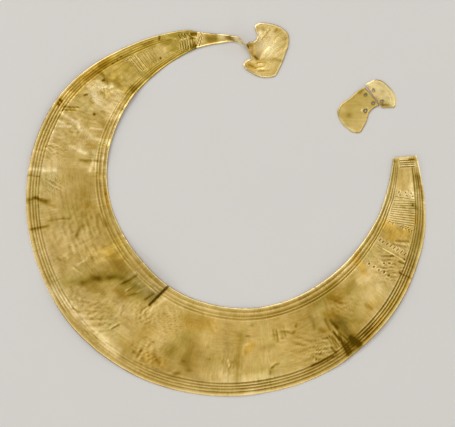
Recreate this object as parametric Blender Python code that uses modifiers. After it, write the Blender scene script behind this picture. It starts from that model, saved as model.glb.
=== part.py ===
"""A gold lunula: a crescent collar beaten from one thin sheet, and its broken-off terminal.

The crescent, its twisted neck and the spread terminal at the end of that neck are one sheet of gold.
The other horn has lost its terminal, which lies beside it in two plates that were once laced together.
Everything lies on its back on a surface at z = 0, and +Z is the decorated face.

Plan positions are worked out round the centre of the neck opening. A bearing is an angle clockwise
from the broken end of the right horn, and `across` runs from 0 at the inner edge to 1 at the outer edge.
"""

import math

import bmesh
import bpy
import numpy as np
from mathutils import Vector

MM = 0.001

# Driving dimensions, in millimetres and degrees.
SHEET_THICK = 0.36  # the beaten gold at its rims
HORN_ANGLE = 5.6  # direction of the broken horn end above +X, seen from the neck opening's centre
NECK_CENTRE = (11.6, 20.5)  # the neck opening's centre, from the middle of the whole object's plan

# Bearing in degrees, then the inner and the outer radius of the crescent there.
CRESCENT_OUTLINE = (
    (0, 80.7, 93.5),
    (5, 79.3, 95.0),
    (12, 77.8, 97.7),
    (24, 76.1, 103.2),
    (36, 74.4, 107.2),
    (48, 73.5, 111.2),
    (60, 73.2, 114.4),
    (75, 73.9, 118.8),
    (93, 74.8, 122.1),
    (111, 75.2, 125.6),
    (122, 75.7, 127.4),
    (131, 75.7, 127.9),
    (144, 75.2, 128.2),
    (156, 75.7, 126.8),
    (174, 76.8, 123.5),
    (192, 76.6, 118.1),
    (207, 75.5, 111.5),
    (221, 74.6, 102.5),
    (232, 73.6, 95.4),
    (242, 73.2, 90.0),
    (253.4, 73.3, 84.3),
)
CRESCENT_SWEEP = CRESCENT_OUTLINE[-1][0]

# How high the sheet stands off the surface it lies on, as bearing and height. It rests where this is 0.
BOW = (
    (0, 0.5),
    (12, 0.0),
    (26, 0.0),
    (40, 0.8),
    (56, 1.7),
    (66, 1.2),
    (76, 0.0),
    (88, 0.0),
    (98, 0.9),
    (108, 0.0),
    (122, 0.0),
    (134, 1.2),
    (150, 1.6),
    (162, 0.0),
    (176, 0.0),
    (190, 0.8),
    (204, 1.3),
    (218, 1.5),
    (228, 0.0),
    (244, 0.0),
    (253.4, 0.4),
)

# Larger folds as (bearing, across) at the start and at the end, then width and height. A valley is negative.
FOLDS = (
    ((141, 0.22), (154, 0.84), 4.2, -1.25),  # the valley that slants away from the tear
    ((133, 0.30), (143, 0.34), 4.0, -0.7),
    ((147, 0.18), (159, 0.66), 6.0, 0.7),  # the swell beside that valley
    ((65.2, 0.30), (66.4, 1.04), 2.4, -1.5),  # the buckle in the outer edge
    ((61.6, 0.34), (61.0, 1.04), 3.6, 0.9),
    ((70.0, 0.55), (70.2, 1.04), 2.4, 0.6),
    ((177.4, 0.62), (178.2, 1.04), 1.6, -0.5),
    ((180.6, 0.66), (181.2, 1.04), 1.8, 0.5),
    ((219.4, 0.0), (220.6, 1.0), 3.0, 0.5),  # the bend before the left horn
)

# The tear runs in from the inner edge.
TEAR_BEARING = 131.0
TEAR_LEAN = 1.6  # degrees it drifts over its length
TEAR_LEAN_REACH = 7.0  # degrees to either side over which the grid leans with it
TEAR_END = 0.29  # how far across it reaches
TEAR_MOUTH = 0.9  # its width at the edge
TEAR_TIP = 0.3  # its width just before its end
TEAR_LIP = 1.5  # how far its far lip is lifted
TEAR_LIP_REACH = 12.0  # degrees over which that lift dies away

# The neck beyond the crescent: its inner edge and its outer edge, which turns over on the way.
NECK_EDGES = (
    ((-28.3, 67.7, 0.4), (-28.5, 77.2, 0.4)),
    ((-21.1, 69.6, 0.3), (-20.9, 76.3, 0.7)),
    ((-15.2, 70.6, 0.3), (-15.0, 75.8, 1.5)),
    ((-9.3, 71.5, 0.4), (-9.2, 75.0, 3.0)),
    ((-6.0, 71.3, 0.5), (-5.5, 73.8, 4.3)),
    ((-3.3, 70.4, 0.6), (-2.9, 71.8, 4.9)),
    ((-1.2, 69.7, 0.6), (-0.7, 68.9, 5.1)),
    ((-0.1, 70.3, 0.5), (0.9, 66.2, 4.4)),
    ((0.6, 71.3, 0.4), (1.9, 64.0, 2.6)),
)

# The terminal's edges, from the neck round each notch and lobe to the far edge.
UPPER_SIDE = ((0.6, 71.3), (4.1, 71.9), (5.8, 74.2), (4.6, 77.9), (4.4, 80.3), (7.6, 82.1))
LOWER_SIDE = ((1.9, 64.0), (1.9, 62.2), (-0.1, 61.2), (-1.9, 59.6), (-1.2, 57.1), (2.1, 54.6))
FAR_EDGE = (
    (7.6, 82.1),
    (13.7, 81.5),
    (19.7, 78.9),
    (22.8, 75.7),
    (23.2, 71.5),
    (21.2, 64.7),
    (18.3, 57.5),
    (15.6, 52.9),
    (10.7, 51.8),
    (6.1, 52.6),
    (2.1, 54.6),
)
TERMINAL_RISE = 0.5  # how far the far edge stands up
TERMINAL_JOIN = 0.35  # share of the plate over which the neck's slope dies away
RIDGE_HEIGHT = 2.4  # the ridge that the turned neck leaves in the plate
RIDGE_WIDTH = 2.2
RIDGE_END = (7.3, 63.1)

# The broken-off terminal: two plates whose broken edges face each other. Each edge runs corner to corner.
LARGE_BREAK = ((64.7, 46.7), (69.1, 41.5), (72.7, 36.7))
LARGE_ROUND = (
    (69.1, 34.7),
    (67.1, 32.3),
    (66.2, 28.9),
    (64.1, 24.5),
    (62.1, 21.7),
    (59.1, 21.6),
    (54.9, 24.1),
    (51.1, 28.4),
    (49.8, 33.4),
    (51.9, 37.3),
    (56.3, 40.4),
    (60.7, 44.3),
)
SMALL_BREAK = ((73.2, 36.8), (69.6, 41.8), (65.0, 48.2))
SMALL_ROUND = (
    (67.9, 49.6),
    (70.5, 50.8),
    (73.7, 50.3),
    (77.9, 47.1),
    (81.1, 42.9),
    (82.2, 38.7),
    (81.1, 35.7),
    (77.3, 35.3),
    (74.0, 35.5),
)
LARGE_HOLES = ((65.1, 42.5, 0.62), (69.3, 37.9, 0.72), (65.0, 33.8, 0.8))  # x, y and radius
SMALL_HOLES = ((69.4, 44.9, 0.68), (74.1, 38.9, 0.66))
BREAK_LIFT = 0.55  # how high the two broken edges stand off the surface

# Mesh density.
CRESCENT_ROWS = 114
TEAR_ROW = 59  # the row that follows the tear
NECK_ROWS = 20
TERMINAL_ROWS = 12
COLUMNS = 14
CURVE_STEPS = 4
HOLE_SIDES = 16

BEATEN_GOLD = {"colour": (0.80, 0.60, 0.24, 1.0), "roughness": 0.36, "metallic": 1.0}
TERMINAL_GOLD = {"colour": (0.78, 0.62, 0.27, 1.0), "roughness": 0.33, "metallic": 1.0}


def smooth(knots, values, at):
    """A smooth curve through the values at the knots, read at `at`."""
    knots = np.asarray(knots, float)
    values = np.asarray(values, float)
    slopes = np.gradient(values, knots, axis=0)
    i = int(np.clip(np.searchsorted(knots, at) - 1, 0, len(knots) - 2))
    span = knots[i + 1] - knots[i]
    t = (at - knots[i]) / span
    return (
        (2 * t**3 - 3 * t**2 + 1) * values[i]
        + (t**3 - 2 * t**2 + t) * span * slopes[i]
        + (3 * t**2 - 2 * t**3) * values[i + 1]
        + (t**3 - t**2) * span * slopes[i + 1]
    )


def along_line(points, share):
    """The place at a share of the length of a smooth line through the points."""
    points = np.asarray(points, float)
    steps = np.linalg.norm(np.diff(points, axis=0), axis=1)
    knots = np.concatenate([[0.0], np.cumsum(steps)]) / steps.sum()
    return smooth(knots, points, share)


def ease(x):
    """0 below 0, 1 above 1, and a smooth step between."""
    t = min(max(x, 0.0), 1.0)
    return t * t * (3 - 2 * t)


def bump(place, start, end, width):
    """1 along a straight line in plan and 0 away from it, with how far along the line the place is."""
    line = end - start
    share = float(np.dot(place - start, line) / np.dot(line, line))
    held = min(max(share, 0.0), 1.0)
    distance = np.linalg.norm(place - start - held * line)
    return math.exp(-((distance / width) ** 2)), held


def row_bearing(row):
    """The bearing of a row of the crescent, spread so that one row falls on the tear."""
    rows = (0, TEAR_ROW, CRESCENT_ROWS)
    return float(np.interp(row, rows, (0, TEAR_BEARING, CRESCENT_SWEEP)))


def crescent_plan(bearing, across):
    """The plan position of a place on the crescent."""
    table = np.array(CRESCENT_OUTLINE)
    inner, outer = smooth(table[:, 0], table[:, 1:], bearing)
    radius = inner + (outer - inner) * across
    angle = math.radians(HORN_ANGLE - bearing)
    return np.array([radius * math.cos(angle), radius * math.sin(angle)])


def leaned_bearing(bearing, across):
    """The bearing after the rows near the tear are leaned so that one of them runs along it."""
    along = min(across / TEAR_END, 1.0) - 0.5
    near = math.exp(-(((bearing - TEAR_BEARING) / TEAR_LEAN_REACH) ** 2))
    return bearing + TEAR_LEAN * along * near


def fold_height(place):
    """The summed height of the larger folds at a plan position."""
    total = 0.0
    for start, end, width, height in FOLDS:
        share, _ = bump(place, crescent_plan(*start), crescent_plan(*end), width)
        total += height * share
    return total


def tear_lift(bearing, across):
    """The lift of the tear's far lip, which is greatest at the inner edge."""
    fade = math.exp(-(((bearing - TEAR_BEARING) / TEAR_LIP_REACH) ** 2))
    return TEAR_LIP * fade * (1 - ease(across / TEAR_END))


def crescent_point(row, across, beyond_tear):
    """A point of the crescent's middle surface. `beyond_tear` tells the tear's two lips apart."""
    bearing = leaned_bearing(row_bearing(row), across)
    place = crescent_plan(bearing, across)
    bow = np.array(BOW)
    height = max(0.0, float(smooth(bow[:, 0], bow[:, 1], bearing))) + fold_height(place)
    if beyond_tear:
        height += tear_lift(bearing, across)
    return np.array([*place, max(0.0, height)])


def neck_point(share, across):
    """A point of the neck, from the crescent at 0 to the terminal at 1."""
    stations = np.linspace(0, 1, len(NECK_EDGES))
    inner, outer = smooth(stations, NECK_EDGES, share)
    return inner + (outer - inner) * across


def terminal_plan(along, across):
    """A Coons patch between the neck's end, the two lobes and the far edge."""
    corners = np.array([[UPPER_SIDE[0], LOWER_SIDE[0]], [UPPER_SIDE[-1], LOWER_SIDE[-1]]])
    near = corners[0, 0] * (1 - across) + corners[0, 1] * across
    far = corners[1, 0] * (1 - across) + corners[1, 1] * across
    upper, lower = along_line(UPPER_SIDE, along), along_line(LOWER_SIDE, along)
    between_sides = (1 - across) * upper + across * lower
    between_ends = (1 - along) * near + along * along_line(FAR_EDGE, across)
    return between_sides + between_ends - (1 - along) * near - along * far


def terminal_point(along, across):
    """A point of the terminal's middle surface."""
    place = terminal_plan(along, across)
    inner, outer = NECK_EDGES[-1]
    neck = inner[2] + (outer[2] - inner[2]) * across
    share, held = bump(place, np.array(LOWER_SIDE[0]), np.array(RIDGE_END), RIDGE_WIDTH)
    ridge = RIDGE_HEIGHT * (1 - held) * share
    resting = TERMINAL_RISE * ease((along - TERMINAL_JOIN) / (1 - TERMINAL_JOIN))
    joined = 1 - ease(along / TERMINAL_JOIN)
    return np.array([*place, neck * joined + max(ridge, resting) * (1 - joined)])


def sheet_point(row, across, beyond_tear):
    """The whole sheet as one strip of rows: crescent, then neck, then terminal."""
    if row <= CRESCENT_ROWS:
        return crescent_point(row, across, beyond_tear)
    if row <= CRESCENT_ROWS + NECK_ROWS:
        return neck_point((row - CRESCENT_ROWS) / NECK_ROWS, across)
    return terminal_point((row - CRESCENT_ROWS - NECK_ROWS) / TERMINAL_ROWS, across)


def open_tear(grid):
    """Splits the grid along the tear's row, from the inner edge to the tear's end."""
    nearest_column = round(TEAR_END * COLUMNS) / COLUMNS
    cut = [
        edge
        for edge in grid.edges
        if all(round(v.co.x) == TEAR_ROW and v.co.y < nearest_column + 0.01 for v in edge.verts)
    ]
    bmesh.ops.split_edges(grid, edges=cut)


def tear_side(vertex):
    """1 or -1 for a vertex on the far or the near lip of the tear, and 0 for any other."""
    if round(vertex.co.x) != TEAR_ROW:
        return 0
    sides = {face.calc_center_median().x > TEAR_ROW for face in vertex.link_faces}
    if len(sides) == 2:
        return 0
    return 1 if sides.pop() else -1


def tear_offset(across, side):
    """How far a lip of the tear stands back from the middle of the gap."""
    share = min(across / TEAR_END, 1.0)
    half_gap = (TEAR_MOUTH + (TEAR_TIP - TEAR_MOUTH) * share) / 2
    angle = math.radians(HORN_ANGLE - TEAR_BEARING)
    clockwise = np.array([math.sin(angle), -math.cos(angle), 0])
    return clockwise * half_gap * side


def build_lunula_sheet(collection):
    """The crescent, its twisted neck and its terminal, as one sheet with its true thickness."""
    rows = CRESCENT_ROWS + NECK_ROWS + TERMINAL_ROWS
    grid = bmesh.new()
    bmesh.ops.create_grid(grid, x_segments=rows, y_segments=COLUMNS, size=0.5)
    for vertex in grid.verts:
        vertex.co = ((vertex.co.x + 0.5) * rows, vertex.co.y + 0.5, 0)
    open_tear(grid)
    places = []
    for vertex in grid.verts:
        row, across, side = round(vertex.co.x), vertex.co.y, tear_side(vertex)
        beyond_tear = row > TEAR_ROW or side == 1
        places.append(sheet_point(row, across, beyond_tear) + tear_offset(across, side))
    for vertex, place in zip(grid.verts, places):
        vertex.co = Vector(place) * MM
    bmesh.ops.recalc_face_normals(grid, faces=grid.faces)
    mesh = bpy.data.meshes.new("lunula_sheet")
    grid.to_mesh(mesh)
    grid.free()
    mesh.shade_smooth()
    mesh.materials.append(material("beaten_gold", BEATEN_GOLD))
    sheet = bpy.data.objects.new("lunula_sheet", mesh)
    sheet.location = Vector((*NECK_CENTRE, SHEET_THICK / 2)) * MM
    collection.objects.link(sheet)
    wall = sheet.modifiers.new("thickness", "SOLIDIFY")
    wall.thickness = SHEET_THICK * MM
    wall.offset = 0
    return sheet


def material(name, finish):
    """A plain Principled BSDF."""
    made = bpy.data.materials.new(name)
    made.use_nodes = True
    shader = made.node_tree.nodes["Principled BSDF"]
    shader.inputs["Base Color"].default_value = finish["colour"]
    shader.inputs["Roughness"].default_value = finish["roughness"]
    shader.inputs["Metallic"].default_value = finish["metallic"]
    return made


def plate_curve(name, break_line, round_side, pivot):
    """A flat closed curve round one plate, sharp at the two ends of its break."""
    curve = bpy.data.curves.new(name, "CURVE")
    curve.dimensions = "2D"
    curve.fill_mode = "BOTH"
    curve.extrude = SHEET_THICK / 2 * MM
    curve.resolution_u = CURVE_STEPS
    outline = [*break_line, *round_side]
    spline = curve.splines.new("BEZIER")
    spline.bezier_points.add(len(outline) - 1)
    spline.use_cyclic_u = True
    for point, place in zip(spline.bezier_points, outline):
        point.co = Vector((place[0] - pivot[0], place[1] - pivot[1], 0)) * MM
        corner = place in (break_line[0], break_line[-1])
        point.handle_left_type = point.handle_right_type = "VECTOR" if corner else "AUTO"
    return curve


def welded_mesh(curve, collection):
    """The curve's filled mesh, with its loose caps welded to its sides."""
    source = bpy.data.objects.new(curve.name, curve)
    collection.objects.link(source)
    evaluated = source.evaluated_get(bpy.context.evaluated_depsgraph_get())
    mesh = bpy.data.meshes.new_from_object(evaluated)
    bpy.data.objects.remove(source)
    bpy.data.curves.remove(curve)
    shape = bmesh.new()
    shape.from_mesh(mesh)
    bmesh.ops.remove_doubles(shape, verts=shape.verts, dist=0.01 * MM)
    bmesh.ops.recalc_face_normals(shape, faces=shape.faces)
    shape.to_mesh(mesh)
    shape.free()
    return mesh


def build_fragment(name, break_line, round_side, holes, collection, cutters):
    """One plate of the broken terminal: its far edge rests, its break stands up, and lacing holes pierce it."""
    start, end = np.array(break_line[0]), np.array(break_line[-1])
    along_break = (end - start) / np.linalg.norm(end - start)
    into_plate = np.array([along_break[1], -along_break[0]])
    reach = [float(np.dot(np.array(place) - start, into_plate)) for place in round_side]
    pivot = round_side[int(np.argmax(reach))]
    mesh = welded_mesh(plate_curve(name, break_line, round_side, pivot), collection)
    mesh.materials.append(material(name.replace("fragment", "gold"), TERMINAL_GOLD))
    plate = bpy.data.objects.new(name, mesh)
    plate.location = Vector((pivot[0] + NECK_CENTRE[0], pivot[1] + NECK_CENTRE[1], SHEET_THICK / 2)) * MM
    plate.rotation_mode = "AXIS_ANGLE"
    plate.rotation_axis_angle = (math.asin(BREAK_LIFT / max(reach)), *along_break, 0)
    collection.objects.link(plate)
    for number, (x, y, radius) in enumerate(holes, start=1):
        cut_hole(plate, number, (x - pivot[0], y - pivot[1]), radius, cutters)
    return plate


def cut_hole(plate, number, place, radius, cutters):
    """A lacing hole square to its plate, cut by a hidden cylinder."""
    cylinder = bmesh.new()
    size = radius * MM
    bmesh.ops.create_cone(
        cylinder, cap_ends=True, segments=HOLE_SIDES, radius1=size, radius2=size, depth=8 * MM
    )
    mesh = bpy.data.meshes.new(f"{plate.name}_hole_{number}")
    cylinder.to_mesh(mesh)
    cylinder.free()
    cutter = bpy.data.objects.new(mesh.name, mesh)
    cutter.parent = plate
    cutter.location = Vector((*place, 0)) * MM
    cutter.hide_render = True
    cutter.display_type = "WIRE"
    cutters.objects.link(cutter)
    hole = plate.modifiers.new(f"hole_{number}", "BOOLEAN")
    hole.operation = "DIFFERENCE"
    hole.object = cutter


def new_collection(name):
    """An empty collection in the scene."""
    made = bpy.data.collections.new(name)
    bpy.context.scene.collection.children.link(made)
    return made


def main():
    """Clears the scene, then builds the lunula and its broken-off terminal."""
    for item in list(bpy.data.objects):
        bpy.data.objects.remove(item)
    lunula = new_collection("gold_lunula")
    cutters = new_collection("cutters")
    build_lunula_sheet(lunula)
    large = (LARGE_BREAK, LARGE_ROUND, LARGE_HOLES)
    small = (SMALL_BREAK, SMALL_ROUND, SMALL_HOLES)
    build_fragment("terminal_fragment_large", *large, lunula, cutters)
    build_fragment("terminal_fragment_small", *small, lunula, cutters)


main()
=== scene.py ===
"""The looks of a beaten gold lunula that lies on its back with its broken-off terminal beside it.

All sizes are in millimetres unless a name says otherwise. Places on the crescent are (bearing, across):
a bearing is an angle in degrees clockwise from the broken horn, and across runs from 0 at the inner edge
to 1 at the outer edge. Places on the terminals are (x, y) from the middle of the neck opening.
"""

import logging
import math
from collections.abc import Callable, Mapping, Sequence
from dataclasses import dataclass, fields
from enum import Enum

import bpy
import numpy as np
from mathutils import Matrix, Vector
from mathutils.geometry import delaunay_2d_cdt


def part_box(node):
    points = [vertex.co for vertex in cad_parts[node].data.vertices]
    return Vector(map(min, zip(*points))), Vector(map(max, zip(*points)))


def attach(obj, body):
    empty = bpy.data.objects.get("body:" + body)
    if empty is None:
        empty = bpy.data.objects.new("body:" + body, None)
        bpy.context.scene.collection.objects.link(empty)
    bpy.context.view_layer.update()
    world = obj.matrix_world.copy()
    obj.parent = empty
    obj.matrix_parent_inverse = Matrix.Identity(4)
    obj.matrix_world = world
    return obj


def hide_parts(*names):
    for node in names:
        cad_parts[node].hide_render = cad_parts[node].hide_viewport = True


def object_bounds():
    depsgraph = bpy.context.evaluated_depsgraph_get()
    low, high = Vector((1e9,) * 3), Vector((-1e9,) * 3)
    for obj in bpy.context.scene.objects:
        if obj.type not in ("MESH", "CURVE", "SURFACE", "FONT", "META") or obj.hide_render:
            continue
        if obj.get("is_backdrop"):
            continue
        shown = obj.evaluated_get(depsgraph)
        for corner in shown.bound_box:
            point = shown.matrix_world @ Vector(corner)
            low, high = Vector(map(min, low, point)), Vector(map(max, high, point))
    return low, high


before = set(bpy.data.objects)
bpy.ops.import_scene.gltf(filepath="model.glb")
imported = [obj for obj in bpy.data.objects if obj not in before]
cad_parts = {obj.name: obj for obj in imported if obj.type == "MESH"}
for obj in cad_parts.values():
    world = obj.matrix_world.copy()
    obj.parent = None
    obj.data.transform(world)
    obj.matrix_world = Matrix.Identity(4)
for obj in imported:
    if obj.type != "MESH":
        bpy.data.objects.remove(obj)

LOG = logging.getLogger("lunula")
MM = 0.001

Place = tuple[float, float]
Path = tuple[Place, ...]
Grid = np.ndarray
TracePaths = list[tuple["Trace", list[Place]]]

# ---------------- node trees


def operator(name: str, turned: bool = False) -> Callable[["Value", "Value | float"], "Value"]:
    """Makes an operator of `Value`.

    Args:
        name: the Math node's operation.
        turned: whether the value comes after the other one.

    Returns:
        The method.
    """

    def act(self: "Value", other: "Value | float") -> "Value":
        """Adds the Math node."""
        return self.maths(name, other, turned=turned)

    return act


class Value:
    """A node's output, with the operators that add Math nodes to its tree."""

    def __init__(self, nodes: "Nodes", socket: bpy.types.NodeSocket) -> None:
        """Keeps the output and the tree it is in."""
        self.nodes = nodes
        self.socket = socket

    def maths(self, operation: str, other: "Value | float | None" = None, turned: bool = False) -> "Value":
        """Adds one Math node.

        Args:
            operation: the Math node's operation.
            other: its other input, where it has one.
            turned: whether this value comes after the other.

        Returns:
            The node's output.
        """
        inputs = [self] if other is None else [other, self] if turned else [self, other]
        return self.nodes.add("ShaderNodeMath", {"operation": operation}, dict(enumerate(inputs)))

    __add__, __radd__ = operator("ADD"), operator("ADD", turned=True)
    __sub__, __rsub__ = operator("SUBTRACT"), operator("SUBTRACT", turned=True)
    __mul__, __rmul__ = operator("MULTIPLY"), operator("MULTIPLY", turned=True)
    __truediv__ = operator("DIVIDE")

    def clamped(self) -> "Value":
        """The value held between 0 and 1."""
        return self.nodes.add("ShaderNodeClamp", {}, {0: self})

    def eased(self, low: float, high: float) -> "Value":
        """0 below `low`, 1 above `high` and a smooth step between."""
        settings = {"interpolation_type": "SMOOTHSTEP"}
        return self.nodes.add("ShaderNodeMapRange", settings, {0: self, 1: low, 2: high})


class Nodes:
    """Adds nodes to one tree and joins them."""

    def __init__(self, tree: bpy.types.NodeTree) -> None:
        """Keeps the tree."""
        self.tree = tree

    def add(
        self,
        kind: str,
        settings: Mapping[str, object] | None = None,
        sockets: Mapping[int | str, object] | None = None,
        output: int | str = 0,
    ) -> Value:
        """Adds one node.

        Args:
            kind: the node's type.
            settings: its own settings, which are set first. `stops` are a colour ramp's.
            sockets: the value or the link of each input, by number or name.
            output: which output to hand back.

        Returns:
            The chosen output.
        """
        node = self.tree.nodes.new(kind)
        for name, setting in (settings or {}).items():
            if name == "stops":
                self.set_stops(node, setting)
            else:
                setattr(node, name, setting)
        for key, given in (sockets or {}).items():
            self.join(node.inputs[key], given)
        return Value(self, node.outputs[output])

    def set_stops(self, node: bpy.types.Node, stops: Sequence[tuple[float, tuple]]) -> None:
        """Gives a colour ramp its stops.

        Args:
            node: the ramp.
            stops: each stop's place and colour.
        """
        for place, colour in stops[2:]:
            node.color_ramp.elements.new(place)
        for element, (place, colour) in zip(node.color_ramp.elements, stops):
            element.position = place
            element.color = colour

    def join(self, socket: bpy.types.NodeSocket, given: object) -> None:
        """Links an input to a value, or sets it to a number, a vector or a name.

        Args:
            socket: the input.
            given: what it gets.
        """
        if isinstance(given, Value):
            self.tree.links.new(given.socket, socket)
        else:
            socket.default_value = given

    def vector(self, x: object = 0.0, y: object = 0.0, z: object = 0.0) -> Value:
        """A vector from its three parts."""
        return self.add("ShaderNodeCombineXYZ", {}, {0: x, 1: y, 2: z})

    def scaled(self, vector: Value, factor: object) -> Value:
        """A vector times a number."""
        return self.add("ShaderNodeVectorMath", {"operation": "SCALE"}, {0: vector, 3: factor})

    def parts(self, vector: Value) -> tuple[Value, Value, Value]:
        """The three parts of a vector."""
        outputs = self.add("ShaderNodeSeparateXYZ", {}, {0: vector}).socket.node.outputs
        return tuple(Value(self, output) for output in outputs)

    def noise(self, place: Value, scale: object, detail: float = 2.0, roughness: float = 0.5) -> Value:
        """Smooth noise between 0 and 1 at a place."""
        sockets = {"Vector": place, "Scale": scale, "Detail": detail, "Roughness": roughness}
        return self.add("ShaderNodeTexNoise", {"noise_dimensions": "3D"}, sockets)

    def colours(self, share: object, first: object, second: object, blend: str = "MIX") -> Value:
        """A mix of two colours."""
        settings = {"data_type": "RGBA", "blend_type": blend}
        return self.add("ShaderNodeMix", settings, {0: share, 6: first, 7: second}, 2)


# ---------------- curves through stations


def read_curve(knots: Sequence[float], values: Sequence, at: Grid) -> Grid:
    """Reads a smooth curve through stations.

    Args:
        knots: where the stations are.
        values: the value, or the row of values, at each station.
        at: where to read the curve.

    Returns:
        The values there, with the shape of `at` followed by that of one station's value.
    """
    knots, values, at = (np.asarray(item, float) for item in (knots, values, at))
    slopes = np.gradient(values, knots, axis=0)
    i = np.clip(np.searchsorted(knots, at) - 1, 0, len(knots) - 2)
    span = (knots[i + 1] - knots[i]).reshape(at.shape + (1,) * (values.ndim - 1))
    t = (at - knots[i]).reshape(span.shape) / span
    return (
        (2 * t**3 - 3 * t**2 + 1) * values[i]
        + (t**3 - 2 * t**2 + t) * span * slopes[i]
        + (3 * t**2 - 2 * t**3) * values[i + 1]
        + (t**3 - t**2) * span * slopes[i + 1]
    )


def along_line(points: Sequence[Place], share: Grid) -> Grid:
    """The places at shares of the length of a smooth line through the points.

    Args:
        points: the line's corners.
        share: shares of its length.

    Returns:
        A place for each share.
    """
    points = np.asarray(points, float)
    steps = np.linalg.norm(np.diff(points, axis=0), axis=1)
    knots = np.concatenate([[0.0], np.cumsum(steps)]) / steps.sum()
    return read_curve(knots, points, share)


def ease(x: Grid) -> Grid:
    """0 below 0, 1 above 1, and a smooth step between."""
    t = np.clip(x, 0.0, 1.0)
    return t * t * (3 - 2 * t)


def bell(x: Grid, width: float) -> Grid:
    """1 at 0, falling smoothly on both sides to about a third at the width."""
    return np.exp(-((x / width) ** 2))


def nearest_on_path(x: Grid, y: Grid, path: Sequence[Place]) -> tuple[Grid, Grid]:
    """Measures places against a path of straight runs.

    Args:
        x: the places' first coordinate.
        y: their second.
        path: the corners of the path.

    Returns:
        The distance, and the share of the path's length at the nearest point.
    """
    corners = np.asarray(path, float)
    lengths = np.linalg.norm(np.diff(corners, axis=0), axis=1)
    total = max(lengths.sum(), 1e-9)
    nearest = np.full(x.shape, np.inf)
    share = np.zeros_like(nearest)
    run = 0.0
    for (ax, ay), (bx, by), length in zip(corners[:-1], corners[1:], lengths):
        dx, dy = bx - ax, by - ay
        t = np.clip(((x - ax) * dx + (y - ay) * dy) / max(length**2, 1e-9), 0, 1)
        distance = np.hypot(x - ax - t * dx, y - ay - t * dy)
        closer = distance < nearest
        nearest = np.where(closer, distance, nearest)
        share = np.where(closer, (run + t * length) / total, share)
        run += length
    return nearest, share


# ---------------- what age and hands did to the sheet, and where shade and highlights are painted


class Work(Enum):
    """What a trace does to the sheet where it runs."""

    CREASE = "crease"  # a valley
    RIDGE = "ridge"  # a crest
    STAIN = "stain"  # orange deposit
    OLIVE = "olive"  # greenish shade
    TARNISH_AND_SHADE = "tarnish_and_shade"  # brown-olive tarnish, and painted shade
    WEAR_AND_HIGHLIGHT = "gleam"  # rubbed bright, and painted highlight


CREASE, RIDGE, STAIN, OLIVE, TARNISH_AND_SHADE, WEAR_AND_HIGHLIGHT = Work
FOLDS = (CREASE, RIDGE)
TONES = (STAIN, OLIVE, TARNISH_AND_SHADE, WEAR_AND_HIGHLIGHT)
FOLD_TONE_WIDTH = 0.8  # how wide a crease's painted shade and dirt and a ridge's painted highlight are, in widths of the fold
CREASE_SHADE = 1.2  # painted shade and dirt in a crease, for each millimetre of depth
RIDGE_HIGHLIGHT = 1.1  # painted highlight and rubbed wear on a ridge, for each millimetre of height
TRACE_REACH = 3.0  # how far from its path a trace is read, in half widths
FOLD_TAPER = 5.0  # how fast a fold rises from its ends
FOLD_END = 0.25  # how far it has risen at the very end, before easing


@dataclass(frozen=True)
class Trace:
    """One crease, ridge or patch of colour: its path, its half width and its height or strength."""

    work: Work
    path: Path
    width: float
    amount: float

    def strength(self, x: Grid, y: Grid, path: Sequence[Place]) -> Grid:
        """Reads the trace in plan.

        Args:
            x: the places' first plan coordinate.
            y: their second.
            path: this trace's path in plan.

        Returns:
            Its height or strength at each place.
        """
        corners = list(path) if len(path) > 1 else [path[0], path[0]]
        reach = TRACE_REACH * self.width
        low, high = np.min(corners, axis=0) - reach, np.max(corners, axis=0) + reach
        near = (x > low[0]) & (x < high[0]) & (y > low[1]) & (y < high[1])
        total = np.zeros_like(x)
        distance, share = nearest_on_path(x[near], y[near], corners)
        profile = bell(distance, self.width)
        if self.work in FOLDS and len(path) > 1:
            profile = profile * ease(np.minimum(share, 1 - share) * FOLD_TAPER + FOLD_END)
        total[near] = profile * self.amount * (-1 if self.work is CREASE else 1)
        return total

    def toned(self) -> "Trace":
        """What the trace does to the colour: crests are rubbed bright and get a painted highlight, and
        valleys keep dirt and get painted shade.

        Returns:
            A trace of a tone.
        """
        if self.work is CREASE:
            return Trace(TARNISH_AND_SHADE, self.path, FOLD_TONE_WIDTH * self.width, CREASE_SHADE * self.amount)
        if self.work is RIDGE:
            return Trace(WEAR_AND_HIGHLIGHT, self.path, FOLD_TONE_WIDTH * self.width, RIDGE_HIGHLIGHT * self.amount)
        return self


def marks(work: Work, *rows: tuple[float, ...]) -> tuple[Trace, ...]:
    """Traces of one kind. A row has a path's places in turn, its half width and its height or strength."""
    return tuple(Trace(work, tuple(zip(row[:-2:2], row[1:-2:2])), *row[-2:]) for row in rows)


WAVES = 24  # in one field
WAVE_SCATTER = 0.35  # how far the logarithm of their lengths strays


def waves(u: Grid, v: Grid, length: float, lean: float, spread: float, seed: int) -> Grid:
    """A random field of waves whose crests run across the sheet.

    Args:
        u: places along the sheet.
        v: places across it.
        length: the usual length of a wave.
        lean: how far the crests lean from straight across, in degrees.
        spread: how far single waves differ from that, in degrees.
        seed: the seed of the random numbers.

    Returns:
        Heights with a mean of 0 and a usual size of 1.
    """
    dice = np.random.default_rng(seed)
    total = np.zeros_like(u)
    for _ in range(WAVES):
        angle = math.radians(lean + dice.normal(0, spread))
        size = 2 * math.pi / (length * math.exp(dice.normal(0, WAVE_SCATTER)))
        total += np.cos(size * (u * math.cos(angle) + v * math.sin(angle)) + dice.uniform(0, 2 * math.pi))
    return total * math.sqrt(2 / WAVES)


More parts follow.
